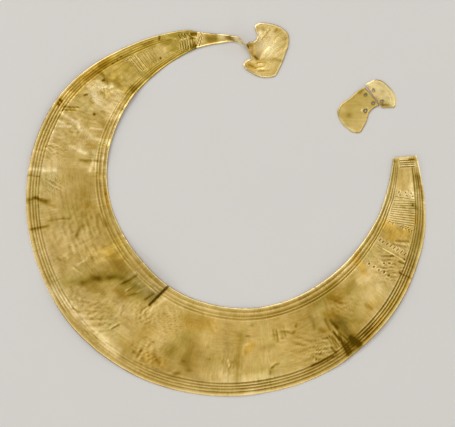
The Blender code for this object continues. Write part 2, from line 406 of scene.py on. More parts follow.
# A row is a path's bearings and how far across, in turn, then the half width and the height or strength.
CRESCENT_TRACES = (
    *marks(
        CREASE,
        (37.7, 0.38, 36.5, 0.46, 35.4, 0.56, 0.34, 0.5), (39, 0.79, 38.6, 0.98, 0.7, 0.45),
        (67.1, 0.62, 66.4, 0.8, 66.6, 0.97, 0.5, 0.6), (69, 0.62, 68.6, 0.74, 68.5, 0.81, 0.42, 0.7),
        (69.6, 0.63, 71.2, 0.61, 0.4, 0.35), (74, 0.77, 72.8, 0.75, 0.4, 0.35),
        (76.2, 0.73, 75.2, 0.8, 0.45, 0.45), (100.1, 0.61, 100.6, 0.68, 0.42, 0.5),
        (123.6, 0.61, 125, 0.595, 0.42, 0.4), (131.4, 0.33, 131.5, 0.41, 0.42, 0.5),
        (132.4, 0.31, 132.9, 0.4, 0.42, 0.5), (133, 0.16, 134.2, 0.27, 0.55, 0.6),
        (140, 0.21, 140.7, 0.32, 0.5, 0.7), (142.5, 0.14, 143, 0.24, 143.9, 0.33, 0.65, 0.5),
        (138.4, 0.46, 137, 0.56, 0.5, 0.35), (135.5, 0.64, 136.4, 0.73, 0.45, 0.7),
        (146, 0.7, 148.2, 0.79, 0.45, 0.4), (155, 0.6, 157, 0.64, 0.42, 0.35),
        (170.8, 0.5, 171.5, 0.62, 171.7, 0.76, 0.42, 0.5), (170.4, 0.76, 170.8, 0.98, 0.6, 0.45),
        (177, 0.71, 178, 0.8, 178.6, 0.9, 178.2, 1, 0.75, 0.25), (184.3, 0.84, 184.8, 1, 0.45, 0.6),
        (205.5, 0.65, 204.2, 0.83, 0.42, 1), (206.6, 0.63, 205.1, 0.85, 0.42, 1.1),
    ),
    *marks(
        RIDGE,
        (0.35, 0, 0.35, 1, 0.45, 0.4), (141.2, 0.18, 142.2, 0.33, 0.6, 0.3),
        (191, 0.16, 191.8, 0.27, 193, 0.36, 193.8, 0.52, 0.55, 0.06),
        (197.5, 0.16, 198.8, 0.31, 200.2, 0.42, 201.8, 0.53, 0.55, 0.1),
        (202.3, 0.17, 201.3, 0.35, 200.7, 0.41, 0.5, 0.1),
        (201.8, 0.54, 202.5, 0.68, 203.3, 0.84, 0.55, 0.12), (200.6, 0.58, 199.4, 0.8, 0.5, 0.1),
        (209, 0.2, 210.6, 0.34, 212, 0.52, 0.6, 0.14), (212.4, 0.56, 214.2, 0.76, 0.6, 0.16),
        (209, 0.6, 211.2, 0.6, 0.42, 0.2), (218.2, 0.16, 217.2, 0.3, 217, 0.38, 0.6, 0.22),
        (218.1, 0.42, 215.6, 0.6, 0.6, 0.28),
    ),
    *marks(
        STAIN,
        (1.3, 0.66, 1.3, 0.9, 0.7, 1.3), (10.5, 0.96, 13.5, 0.96, 0.8, 0.8),
        (20.4, 0.76, 22.3, 0.77, 1.1, 1.2), (26.6, 0.26, 29, 0.42, 26.6, 0.62, 3.4, 1.5),
        (38.6, 0.94, 0.9, 1.2), (44.6, 0.14, 46, 0.29, 1.9, 1.3), (42, 0.07, 47.3, 0.075, 1.2, 1),
        (40, 0.955, 61, 0.96, 1.1, 1), (52, 0.66, 54, 0.72, 1.6, 0.5), (60, 0.3, 61.8, 0.2, 2.8, 0.75),
        (64, 0.47, 66.2, 0.38, 2.6, 0.7), (69.2, 0.55, 70.6, 0.5, 1.4, 0.5),
        (94.2, 0.43, 95.6, 0.5, 1.9, 0.9), (109, 0.22, 116, 0.26, 5, 0.6),
        (119.5, 0.78, 124.5, 0.76, 3.4, 0.6), (139.6, 0.37, 142.2, 0.4, 1.9, 0.4),
        (149, 0.22, 156, 0.22, 4, 0.3), (127.5, 0.52, 130, 0.76, 5, 0.25),
        (172.8, 0.22, 173.4, 0.31, 1, 0.8), (171.5, 0.035, 178, 0.035, 1, 1.3),
        (195.3, 0.21, 195.7, 0.3, 0.9, 1), (205.2, 0.93, 207.2, 0.94, 0.9, 1.3),
        (214.6, 0.9, 222.6, 0.88, 2.4, 0.8), (223, 0.9, 226, 0.92, 1.4, 0.9), (80, 0.5, 122, 0.5, 14, 0.16),
    ),
    *marks(
        OLIVE,
        (1.1, 0.04, 1.7, 0.12, 1, 1.2), (16, 0.62, 17.2, 0.76, 1.5, 1.1), (18, 0.38, 18.4, 0.55, 1.4, 0.8),
        (41.5, 0.63, 1.2, 1.2), (36, 0.69, 35.7, 0.85, 0.9, 1.2), (51.5, 0.26, 55, 0.33, 2.6, 0.4),
        (61, 0.15, 67, 0.16, 67.4, 0.36, 2.6, 1), (58.3, 0.68, 62.6, 0.56, 2.4, 0.9),
        (64.4, 0.55, 63.4, 0.78, 62.4, 0.98, 3.4, 1), (93.6, 0.2, 1.4, 0.9),
        (97.7, 0.3, 98.6, 0.7, 2.4, 0.5), (115.5, 0.38, 119, 0.6, 4.6, 0.7),
        (132.6, 0.18, 138.5, 0.24, 147.5, 0.32, 4.4, 1.2), (145, 0.28, 151.4, 0.58, 154.6, 0.82, 3.4, 1),
        (189.8, 0.12, 189.7, 0.38, 0.9, 0.8), (213.6, 0.44, 214.4, 0.52, 1.4, 0.8),
        (219.4, 0.18, 221.2, 0.42, 2, 0.6), (222, 0.07, 253, 0.07, 2.2, 0.9), (224, 0.9, 253, 0.91, 2, 0.9),
        (243.9, 0.32, 245.9, 0.34, 1.2, 1.6), (247, 0.4, 254, 0.6, 5, 0.4), (224, 0.5, 253, 0.5, 13, 0.7),
        (0, 0.1, 30, 0.08, 3.6, 0.7), (2, 0.9, 30, 0.9, 4, 0.5),
    ),
    *marks(
        TARNISH_AND_SHADE,
        (1.1, 0.04, 1.6, 0.1, 0.6, 0.5), (1.2, 0.66, 1.3, 0.9, 0.4, 0.9), (4, 0.73, 12, 0.745, 0.35, 0.6),
        (7.5, 0.86, 11, 0.92, 1.2, 0.6), (11.5, 0.95, 14.5, 0.96, 0.9, 0.45), (13.3, 0.32, 0.45, 0.8),
        (13, 0.52, 0.45, 0.8), (13.1, 0.65, 0.45, 0.8), (14.1, 0.37, 0.45, 0.8), (14.1, 0.55, 0.45, 0.8),
        (13.9, 0.7, 0.45, 0.8), (16.1, 0.62, 17.3, 0.78, 1.2, 0.45), (16.9, 0.69, 0.6, 1),
        (18.1, 0.42, 18.2, 0.5, 0.9, 0.4), (30.4, 0.5, 28.9, 0.72, 0.5, 0.8),
        (32, 0.46, 30.8, 0.7, 0.5, 0.7), (34.65, 0.755, 0.45, 1.7), (36, 0.515, 35.5, 0.555, 0.42, 0.9),
        (38.3, 0.545, 0.42, 1.3), (39.1, 0.475, 0.42, 1.1), (42.4, 0.28, 0.4, 1.2), (42.3, 0.365, 0.4, 1),
        (42.4, 0.46, 0.4, 1.2), (41.6, 0.545, 0.5, 1.7), (41.5, 0.63, 0.9, 0.7), (37.4, 0.64, 0.7, 0.7),
        (36.1, 0.69, 35.8, 0.78, 0.5, 1), (39, 0.775, 0.55, 1.8), (52, 0.27, 55.2, 0.32, 2.4, 0.28),
        (53.9, 0.62, 53.3, 0.71, 1, 0.4), (60.4, 0.32, 61.8, 0.24, 2.6, 0.42),
        (64.2, 0.46, 66.2, 0.39, 2.6, 0.4), (60, 0.12, 69, 0.18, 4, 0.25), (58, 0.72, 61.6, 0.6, 2.4, 0.2),
        (57.4, 0.88, 59.4, 0.89, 1.2, 0.45), (64.6, 0.58, 64.2, 0.8, 63.6, 1, 3.4, 0.5),
        (66.4, 0.7, 66, 0.95, 2, 0.4), (63.2, 0.82, 62.6, 0.95, 1.9, 1), (66.2, 0.47, 65.6, 0.6, 0.95, 0.7),
        (67.7, 0.42, 67.8, 0.56, 0.8, 0.5), (67.3, 0.6, 66.9, 0.74, 0.45, 0.7),
        (65.4, 0.84, 65.6, 0.95, 0.5, 0.8), (66.3, 0.8, 66.5, 0.94, 0.7, 0.8),
        (68.2, 0.64, 67.8, 0.8, 0.42, 0.8), (69.8, 0.62, 69.3, 0.72, 0.42, 0.6),
        (69.2, 0.55, 70.6, 0.5, 1.2, 0.4), (69.9, 0.76, 69.4, 0.85, 0.7, 0.8),
        (70.6, 0.865, 77, 0.845, 0.8, 0.8), (71.3, 0.3, 72.2, 0.44, 1.3, 0.2), (66, 0.14, 78, 0.12, 4, 0.15),
        (77.6, 0.3, 78.2, 0.34, 0.42, 0.6), (78.9, 0.385, 79.9, 0.39, 0.5, 0.7),
        (80.8, 0.37, 81.6, 0.34, 0.5, 0.6), (82.6, 0.3, 82.5, 0.4, 0.55, 0.6),
        (83.7, 0.29, 83.6, 0.41, 0.55, 0.5), (85, 0.3, 85.3, 0.43, 0.6, 0.7),
        (86.1, 0.29, 86.3, 0.4, 0.6, 0.5), (87, 0.46, 90.8, 0.48, 1.9, 0.25),
        (86.3, 0.695, 87.3, 0.7, 0.42, 0.8), (87.9, 0.715, 88.3, 0.725, 0.45, 1.2),
        (88.7, 0.75, 88.8, 0.79, 0.6, 0.6), (93.6, 0.2, 1.1, 0.35), (94.6, 0.325, 95.9, 0.315, 0.42, 0.8),
        (97.6, 0.3, 98.4, 0.62, 2, 0.25), (98.2, 0.66, 98.4, 0.85, 1.8, 0.15),
        (107.4, 0.31, 110.2, 0.19, 0.5, 0.15), (107.9, 0.47, 1.2, 0.4), (107.1, 0.6, 0.42, 1.1),
        (110, 0.2, 117, 0.22, 4, 0.3), (107, 0.58, 113, 0.62, 5, 0.15), (113.2, 0.46, 113.8, 0.66, 3, 0.3),
        (114.1, 0.68, 0.5, 1.1), (112, 0.76, 1.9, 0.4), (114.3, 0.81, 115.2, 0.83, 1, 0.5),
        (115.5, 0.4, 119, 0.6, 4, 0.3), (112, 0.72, 130, 0.8, 6.5, 0.2), (120.6, 0.77, 122.4, 0.72, 1, 0.45),
        (126.1, 0.7, 126.4, 0.8, 0.6, 0.5), (124.4, 0.82, 0.8, 0.5), (127.8, 0.79, 0.9, 0.6),
        (126, 0.28, 0.5, 0.8), (130.2, 0.02, 131.3, 0.17, 0.5, 1.4), (131.3, 0.17, 131.9, 0.285, 0.36, 1.3),
        (132.6, 0.24, 138, 0.26, 143, 0.28, 3.2, 0.35), (138, 0.28, 139.4, 0.35, 0.7, 0.5),
        (139.6, 0.38, 142.4, 0.4, 2.3, 0.3), (144.8, 0.28, 148.2, 0.36, 2.4, 0.55),
        (148, 0.36, 150.3, 0.5, 2.3, 0.35), (150.2, 0.48, 151.7, 0.63, 2.4, 0.65),
        (151.8, 0.64, 154.4, 0.83, 2.2, 0.35), (146, 0.52, 149, 0.6, 2.2, 0.3),
        (145.8, 0.85, 147.6, 0.87, 0.42, 1), (147.6, 0.2, 153, 0.22, 3, 0.25),
        (128, 0.5, 129.5, 0.78, 4.5, 0.25), (160.4, 0.74, 161.2, 0.77, 0.7, 0.5),
        (164.8, 0.5, 168.2, 0.38, 0.9, 0.45), (165, 0.13, 169.6, 0.16, 1.2, 0.3),
        (170.4, 0.8, 170.6, 0.96, 0.7, 0.5), (175.4, 0.66, 176.6, 0.74, 0.9, 0.45),
        (177.2, 0.74, 178.4, 0.88, 1.2, 1), (178.3, 0.93, 178.1, 1, 1.2, 0.5), (176.8, 0.035, 0.7, 0.8),
        (189.8, 0.14, 189.7, 0.36, 0.6, 0.6), (205.3, 0.92, 205.5, 0.94, 0.6, 1.8),
        (206.5, 0.92, 206.7, 0.95, 0.6, 1.8), (206.3, 0.385, 0.75, 1.7),
        (210.9, 0.685, 211.5, 0.655, 0.42, 2), (217.9, 0.63, 218.3, 0.625, 0.45, 1.8),
        (208.5, 0.2, 0.6, 0.6), (205, 0.2, 208, 0.3, 3, 0.25), (213.8, 0.46, 214.3, 0.51, 1.2, 0.5),
        (209.4, 0.5, 210, 0.56, 1.4, 0.4), (219.2, 0.2, 220.6, 0.44, 1.5, 0.4),
        (219, 0.55, 219.6, 0.76, 1.6, 0.4), (216, 0.88, 222, 0.87, 2.4, 0.35), (221.2, 0.91, 0.8, 0.6),
        (221, 0.09, 253, 0.08, 1.9, 0.55), (222, 0.89, 253, 0.9, 1.8, 0.45), (224.6, 0.79, 0.5, 0.9),
        (226.4, 0.8, 0.45, 0.8), (228, 0.83, 0.45, 0.9), (236.4, 0.86, 240, 0.87, 0.5, 0.35),
        (238.4, 0.285, 0.55, 1.8), (244.1, 0.33, 245.7, 0.34, 1, 0.4), (242.1, 0.85, 242.8, 0.95, 0.45, 1.1),
        (253, 0.1, 254.6, 0.45, 1.2, 0.5), (253.1, 0.56, 253.2, 0.72, 0.7, 1),
        (56, 0.5, 68, 0.5, 74, 0.3, 14, 0.18), (143, 0.3, 156, 0.35, 176, 0.35, 15, 0.2),
        (34, 0.6, 44, 0.7, 6, 0.12), (56, 0.9, 62, 0.9, 4, 0.2), (60, 0.3, 76, 0.45, 13, 0.16),
        (90, 0.25, 104, 0.22, 10, 0.14), (108, 0.7, 122, 0.66, 9, 0.1), (133, 0.6, 142, 0.6, 8, 0.18),
        (150, 0.2, 158, 0.22, 6, 0.2), (176, 0.3, 186, 0.4, 7, 0.1), (212, 0.92, 230, 0.92, 3, 0.25),
        (222, 0.5, 232, 0.5, 10, 0.12), (233, 0.12, 253, 0.12, 3.4, 0.45), (234, 0.9, 253, 0.9, 3, 0.25),
        (236, 0.5, 253, 0.5, 9, 0.2), (67, 0.9, 77, 0.88, 5, 0.3), (56, 0.9, 66, 0.9, 5, 0.16),
        (23, 0.9, 33, 0.9, 4, 0.15), (12, 0.31, 33, 0.31, 4, 0.12), (111, 0.65, 120, 0.75, 9, 0.17),
        (144, 0.12, 163, 0.12, 4, 0.18), (157, 0.78, 175, 0.78, 7, 0.14), (177, 0.1, 186, 0.1, 3.5, 0.12),
        (211, 0.84, 219, 0.76, 4.4, 0.32), (221.5, 0.5, 229, 0.5, 7, 0.26), (244, 0.42, 251, 0.45, 4, 0.12),
        (231, 0.93, 241, 0.93, 3.4, 0.25), (221, 0.12, 229, 0.12, 3, 0.2), (211, 0.1, 219, 0.1, 3, 0.15),
        (212, 0.32, 219, 0.34, 3, 0.1), (243, 0.5, 252, 0.48, 2.6, 0.1),
    ),
    *marks(
        WEAR_AND_HIGHLIGHT,
        (0.1, 0.02, 0.1, 0.98, 0.6, 1), (3.2, 0.3, 3.2, 0.86, 0.35, 1.3), (0.9, 0.28, 0.9, 0.6, 0.3, 0.9),
        (1.9, 0.985, 7, 0.985, 0.5, 0.9), (5, 0.655, 10, 0.665, 0.7, 0.35), (10, 0.65, 14.2, 0.68, 1.4, 0.8),
        (12.5, 0.22, 13.5, 0.55, 1.6, 0.4), (16, 0.3, 24, 0.3, 2.6, 0.3), (25.6, 0.3, 29, 0.45, 3, 0.15),
        (31.2, 0.5, 29.8, 0.74, 0.75, 0.8), (34.95, 0.24, 34.9, 0.66, 0.45, 0.35),
        (34.95, 0.36, 34.9, 0.5, 0.5, 0.5), (35, 0.69, 35.3, 0.76, 0.5, 0.9), (42.5, 0.68, 0.5, 1.3),
        (40.4, 0.74, 0.6, 0.7), (46, 0.4, 49.5, 0.34, 2.4, 0.5), (46, 0.62, 51, 0.6, 3, 0.3),
        (68.1, 0.62, 67.9, 0.88, 0.4, 0.4), (66.5, 0.54, 66.2, 0.66, 0.4, 0.8), (64.2, 0.775, 0.6, 1.2),
        (69.6, 0.66, 71, 0.63, 0.5, 0.6), (69.9, 0.7, 70.5, 0.77, 0.45, 0.5),
        (76, 0.78, 75.4, 0.83, 0.45, 0.9), (70.6, 0.31, 1, 0.35), (84.4, 0.3, 84.4, 0.42, 0.4, 0.3),
        (87.3, 0.665, 88.3, 0.69, 0.5, 0.4), (94.8, 0.41, 96.6, 0.42, 97.1, 0.53, 0.6, 0.5),
        (90, 0.8, 96, 0.82, 2.6, 0.6), (94.4, 0.93, 95.6, 0.97, 2, 0.6), (101.4, 0.6, 100.7, 0.66, 0.5, 1),
        (99.6, 0.8, 102, 0.78, 2.4, 0.5), (106.8, 0.28, 109.3, 0.18, 0.5, 0.35),
        (115.5, 0.79, 116.6, 0.84, 0.6, 0.5), (123.6, 0.26, 126.6, 0.2, 0.6, 0.6),
        (128.6, 0.12, 130.6, 0.32, 2, 0.7), (131.9, 0.33, 132.2, 0.4, 0.4, 0.8),
        (136.8, 0.16, 138.2, 0.27, 0.5, 0.8), (139.5, 0.18, 141.2, 0.33, 0.55, 1),
        (143.6, 0.13, 144.5, 0.31, 0.6, 0.6), (136, 0.62, 136.9, 0.74, 0.4, 0.7),
        (137, 0.5, 143, 0.56, 3, 0.35), (146.7, 0.69, 148.8, 0.77, 0.4, 0.7),
        (131.5, 0.89, 154, 0.94, 2.6, 0.9), (132.5, 0.105, 149.5, 0.105, 0.4, 0.7),
        (132.5, 0.14, 149.5, 0.14, 0.4, 0.7), (149.6, 0.88, 153.4, 0.91, 0.9, 0.3),
        (152, 0.92, 168, 0.9, 4, 0.25), (157.3, 0.46, 156.8, 0.6, 0.5, 1.1),
        (155.2, 0.62, 157.3, 0.66, 0.5, 0.7), (160.3, 0.67, 161.4, 0.7, 160.2, 0.74, 0.6, 0.5),
        (164, 0.42, 166.6, 0.36, 1.4, 0.5), (186.1, 0.66, 186.3, 0.82, 1.4, 1.5),
        (186.2, 0.8, 186.4, 0.98, 0.9, 1.1), (186, 0.205, 189.3, 0.205, 1.1, 1.5),
        (186, 0.14, 189, 0.14, 1, 0.9), (187.6, 0.03, 0.9, 1.1), (187.6, 0.26, 188.2, 0.42, 1.4, 0.5),
        (191.2, 0.06, 1, 1.1), (192.2, 0.29, 193.2, 0.38, 1.1, 1.5), (193.3, 0.4, 193.8, 0.53, 0.6, 1.5),
        (190.8, 0.15, 193.4, 0.18, 1.6, 0.8), (197.2, 0.14, 198.8, 0.3, 200.4, 0.42, 1.2, 0.9),
        (200.3, 0.47, 201.8, 0.55, 1.3, 1.6), (202, 0.18, 201.2, 0.35, 0.6, 1),
        (202, 0.58, 202.6, 0.7, 203.3, 0.84, 0.65, 1.6), (200.2, 0.62, 199.2, 0.8, 0.7, 1.1),
        (200.5, 0.72, 200.8, 0.8, 0.7, 1.4), (193.7, 0.68, 193.9, 0.84, 0.6, 0.7),
        (196, 0.66, 196.2, 0.84, 0.6, 0.6), (191.6, 0.7, 192, 0.84, 0.7, 0.6),
        (195.4, 0.8, 197.6, 0.8, 1.6, 0.6), (197, 0.05, 198.4, 0.06, 1, 1),
        (207.6, 0.06, 210.8, 0.08, 1.1, 0.9), (210.4, 0.4, 212.2, 0.55, 1.3, 0.8),
        (208.6, 0.18, 218, 0.2, 3, 0.65), (210, 0.36, 214.6, 0.7, 2.6, 0.6),
        (216.6, 0.3, 216.6, 0.72, 2.4, 0.5), (218, 0.43, 215.8, 0.59, 1, 1.5),
        (216.7, 0.62, 216.8, 0.7, 0.7, 0.9), (214.2, 0.75, 0.9, 0.9), (214.2, 0.87, 1, 0.7),
        (229.4, 0.28, 229.6, 0.72, 0.5, 0.5), (231.4, 0.2, 231.8, 0.7, 0.5, 0.4),
        (234.2, 0.32, 235.2, 0.6, 0.6, 0.5), (239, 0.3, 241.4, 0.6, 2.6, 0.3),
        (244.6, 0.82, 246.4, 0.78, 247.4, 0.68, 0.6, 0.9), (250.6, 0.12, 251.4, 0.5, 0.5, 1),
        (252.4, 0.14, 253, 0.4, 0.45, 0.9), (249.9, 0.62, 250.8, 0.82, 0.5, 0.9),
        (12, 0.15, 24, 0.15, 3.4, 0.45), (12, 0.45, 32, 0.5, 5, 0.25), (133, 0.1, 142, 0.1, 3, 0.2),
        (176, 0.7, 187, 0.7, 5, 0.25), (211, 0.3, 213, 0.66, 4, 0.5), (45, 0.5, 54, 0.6, 9, 0.22),
        (80, 0.31, 86, 0.31, 5, 0.2), (122, 0.5, 131, 0.6, 8, 0.14), (227, 0.07, 249, 0.07, 3, 0.3),
        (232, 0.72, 240, 0.72, 4, 0.5), (253.4, 0.8, 254.4, 0.95, 1.2, 0.8),
        (221, 0.93, 228, 0.93, 3.4, 0.4), (122, 0.72, 130, 0.72, 5, 0.3), (155, 0.92, 164, 0.92, 4, 0.2),
        (199, 0.72, 208, 0.72, 5, 0.2), (233, 0.68, 240, 0.7, 3, 0.15), (243, 0.74, 252, 0.74, 2.2, 0.2),
        (210, 0.93, 220, 0.93, 3, 0.25), (231, 0.93, 241, 0.93, 3, 0.2), (47, 0.07, 65, 0.07, 3, 0.2),
    ),
)

# Patches of small hammer-like waves: middle and reach, then the waves' length, height, lean, spread and seed.
CRESCENT_CRUMPLES = (
    ((72.5, 0.74), 6.5, 1.9, 0.0315, 60, 20, 11), ((83.5, 0.36), 5, 2.4, 0.0175, 70, 15, 12),
    ((78, 0.60), 8, 2.6, 0.0175, 65, 18, 21), ((141, 0.72), 11, 2.2, 0.0182, -30, 30, 13),
    ((149, 0.82), 6, 2, 0.021, 40, 20, 22), ((181.6, 0.66), 5, 1.7, 0.0315, -35, 12, 14),
    ((212.5, 0.42), 12, 2.6, 0.014, 15, 30, 15), ((200, 0.60), 9, 2.4, 0.0175, 0, 30, 16),
    ((124, 0.74), 9, 2.2, 0.0245, 20, 20, 17), ((122, 0.30), 9, 1.8, 0.014, 45, 15, 25),
    ((131, 0.40), 8, 2.4, 0.0175, 15, 30, 23), ((40, 0.60), 8, 2.2, 0.0245, 35, 20, 18),
    ((165, 0.45), 15, 3.2, 0.0175, 70, 30, 19), ((101, 0.66), 7, 2.2, 0.0126, 0, 20, 20),
    ((29.5, 0.70), 3, 1.4, 0.0175, -35, 12, 24), ((66.2, 0.74), 4, 1.5, 0.0315, 0, 12, 26),
    ((192.5, 0.74), 5.5, 1.6, 0.026, 10, 25, 27), ((215.5, 0.52), 5, 1.6, 0.022, -20, 35, 28),
    ((60, 0.42), 7, 2.2, 0.018, 50, 30, 29),
)


# ---------------- the sheet's plan and rise


@dataclass(frozen=True)
class CrescentPlan:
    """The crescent from above, and how it stands off what it lies on."""

    horn_angle: float = 5.6
    # Bearing, then the inner and the outer radius there.
    outline: tuple = (
        (0, 80.7, 93.5), (5, 79.3, 95.0), (12, 77.8, 97.7), (24, 76.1, 103.2), (36, 74.4, 107.2),
        (48, 73.5, 111.2), (60, 73.2, 114.4), (75, 73.9, 118.8), (93, 74.8, 122.1), (111, 75.2, 125.6),
        (122, 75.7, 127.4), (131, 75.7, 127.9), (144, 75.2, 128.2), (156, 75.7, 126.8), (174, 76.8, 123.5),
        (192, 76.6, 118.1), (207, 75.5, 111.5), (221, 74.6, 102.5), (232, 73.6, 95.4), (242, 73.2, 90.0),
        (253.4, 73.3, 84.3),
    )
    # Bearing, then the height there.
    bow: tuple = (
        (0, 0.5), (12, 0.0), (26, 0.0), (40, 0.8), (56, 1.5), (66, 0.9), (76, 0.0), (88, 0.0), (98, 0.5),
        (108, 0.0), (122, 0.0), (134, 1.2), (150, 1.3), (162, 0.0), (176, 0.0), (190, 0.8), (204, 1.3),
        (218, 1.5), (228, 0.0), (244, 0.0), (253.4, 0.4),
    )
    # The larger folds: start and end as (bearing, across), then width and height.
    folds: tuple = (
        ((145, 0.26), (154, 0.84), 3.4, -0.05), ((133, 0.24), (145, 0.30), 4.4, -0.1),
        ((147, 0.18), (159, 0.66), 7.0, 0.15), ((64.6, 0.60), (65.4, 1.04), 3.2, -0.35),
        ((61.4, 0.50), (61.0, 1.04), 3.8, 0.2), ((219.4, 0.0), (220.6, 1.0), 4.0, 0.3),
    )
    tear_bearing: float = 131.0
    tear_lean: float = 1.6
    tear_lean_reach: float = 7.0
    tear_end: float = 0.29
    tear_mouth: float = 0.24
    tear_tip: float = 0.10
    tear_lip: float = 1.5
    tear_lip_reach: float = 12.0
    tear_spread: float = 1.6  # degrees over which the sheet beside the gap gives way
    tear_ragged: tuple = ((0.10, 95, 1), (0.07, 217, 2))  # how far, how often and from where its lips stray

    def radii(self, bearing: Grid) -> tuple[Grid, Grid]:
        """The inner and the outer radius at a bearing."""
        table = np.array(self.outline)
        return tuple(np.moveaxis(read_curve(table[:, 0], table[:, 1:], bearing), -1, 0))

    def width(self, bearing: Grid) -> Grid:
        """The crescent's width at a bearing."""
        inner, outer = self.radii(bearing)
        return outer - inner

    def place(self, bearing: Grid, across: Grid) -> tuple[Grid, Grid]:
        """The plan position of places on the crescent.

        Args:
            bearing: their bearings.
            across: how far across they are.

        Returns:
            Plan positions, as x and y.
        """
        inner, outer = self.radii(bearing)
        radius = inner + (outer - inner) * across
        angle = np.radians(self.horn_angle - bearing)
        return radius * np.cos(angle), radius * np.sin(angle)

    def path(self, places: Path) -> list[Place]:
        """A path of (bearing, across) in plan."""
        return [tuple(map(float, self.place(np.array(b, float), np.array(v, float)))) for b, v in places]

    def leaned(self, bearing: Grid, across: Grid) -> Grid:
        """The bearings after the rows near the tear are leaned so that one of them runs along it."""
        along = np.minimum(across / self.tear_end, 1.0) - 0.5
        return bearing + self.tear_lean * along * bell(bearing - self.tear_bearing, self.tear_lean_reach)

    def rise(self, bearing: Grid, x: Grid, y: Grid) -> Grid:
        """The height of the bow and the larger folds.

        Args:
            bearing: the places' bearings.
            x: their plan position.
            y: the second part of that.

        Returns:
            Heights above the surface underneath, which may be below 0.
        """
        bow = np.array(self.bow)
        total = np.maximum(0.0, read_curve(bow[:, 0], bow[:, 1], bearing))
        for start, end, width, height in self.folds:
            distance, _ = nearest_on_path(x, y, self.path((start, end)))
            total = total + height * bell(distance, width)
        return total

    def lip_rise(self, bearing: Grid, across: Grid) -> Grid:
        """The lift of the tear's far lip."""
        fade = bell(bearing - self.tear_bearing, self.tear_lip_reach)
        return self.tear_lip * fade * (1 - ease(across / self.tear_end))

    def tear_shift(self, bearing: Grid, across: Grid, side: int) -> tuple[Grid, Grid]:
        """How far one side of the tear stands back from the middle of its gap, in plan.

        Args:
            bearing: bearings of places beside the tear.
            across: how far across they are.
            side: -1 before the tear and 1 beyond it.

        Returns:
            Shifts in x and in y.
        """
        share = np.minimum(across / self.tear_end, 1.0)
        half = (self.tear_mouth + (self.tear_tip - self.tear_mouth) * share) / 2
        fade = bell(bearing - self.tear_bearing, self.tear_spread)
        ragged = sum(far * np.sin(across * often + start * side) for far, often, start in self.tear_ragged)
        size = (half + ragged * share) * fade * side * (across < self.tear_end - 1e-6)
        angle = math.radians(self.horn_angle - self.tear_bearing)
        return size * math.sin(angle), -size * math.cos(angle)


@dataclass(frozen=True)
class NeckPlan:
    """The twisted neck and the spread terminal at its end."""

    # The neck's inner and outer edge, which turns over on the way.
    edges: tuple = (
        ((-28.3, 67.7, 0.4), (-28.5, 77.2, 0.4)), ((-21.1, 69.6, 0.3), (-20.9, 76.3, 0.5)),
        ((-15.2, 70.6, 0.3), (-15.0, 75.8, 0.4)), ((-9.3, 71.5, 0.4), (-9.2, 75.0, 1.5)),
        ((-6.0, 71.3, 0.5), (-5.5, 73.8, 4.3)), ((-3.3, 70.4, 0.6), (-2.9, 71.8, 4.9)),
        ((-1.2, 69.7, 0.6), (-0.7, 68.9, 5.1)), ((-0.1, 70.3, 0.5), (0.9, 66.2, 3.5)),
        ((0.6, 71.3, 0.4), (1.9, 64.0, 0.6)),
    )
    upper_side: Path = ((0.6, 71.3), (4.1, 71.9), (5.8, 74.2), (4.6, 77.9), (4.4, 80.3), (7.6, 82.1))
    lower_side: Path = ((1.9, 64.0), (1.9, 62.2), (-0.1, 61.2), (-1.9, 59.6), (-1.2, 57.1), (2.1, 54.6))
    far_edge: Path = (
        (7.6, 82.1), (13.7, 81.5), (19.7, 78.9), (22.8, 75.7), (23.2, 71.5), (21.2, 64.7), (18.3, 57.5),
        (15.6, 52.9), (10.7, 51.8), (6.1, 52.6), (2.1, 54.6),
    )
    terminal_rise: float = 0.1
    terminal_join: float = 0.45
    ridge_height: float = 0.6
    ridge_width: float = 2.2
    ridge_end: Place = (7.3, 63.1)

    def neck(self, share: Grid, across: Grid) -> Grid:
        """Points of the neck, from the crescent at share 0 to the terminal at 1.

        Args:
            share: how far along the neck the rows are.
            across: how far across each vertex is.

        Returns:
            A point for each vertex.
        """
        stations = np.linspace(0, 1, len(self.edges))
        both = read_curve(stations, self.edges, share)
        inner, outer = both[:, None, 0], both[:, None, 1]
        return inner + (outer - inner) * across[..., None]

    def terminal(self, along: Grid, across: Grid) -> Grid:
        """Points of the terminal, from the neck at 0 to the far edge at 1.

        Args:
            along: how far along the terminal the rows are.
            across: how far across each vertex is.

        Returns:
            A point for each vertex.
        """
        a, v = along[:, None, None], across[..., None]
        near = np.array(self.upper_side[0]) * (1 - v) + np.array(self.lower_side[0]) * v
        far = np.array(self.upper_side[-1]) * (1 - v) + np.array(self.lower_side[-1]) * v
        upper, lower = (along_line(side, along)[:, None] for side in (self.upper_side, self.lower_side))
        between_sides = (1 - v) * upper + v * lower
        between_ends = (1 - a) * near + a * along_line(self.far_edge, across)
        plan = between_sides + between_ends - (1 - a) * near - a * far
        inner, outer = self.edges[-1]
        neck = inner[2] + (outer[2] - inner[2]) * across
        distance, share = nearest_on_path(plan[..., 0], plan[..., 1], (self.lower_side[0], self.ridge_end))
        ridge = self.ridge_height * (1 - share) * bell(distance, self.ridge_width)
        join = self.terminal_join
        resting = self.terminal_rise * ease((along[:, None] - join) / (1 - join))
        joined = 1 - ease(along[:, None] / join)
        height = neck * joined + np.maximum(ridge, resting) * (1 - joined)
        return np.concatenate([plan, height[..., None]], axis=-1)


class Edge(Enum):
    """An edge of the crescent."""

    INNER = "inner"
    OUTER = "outer"


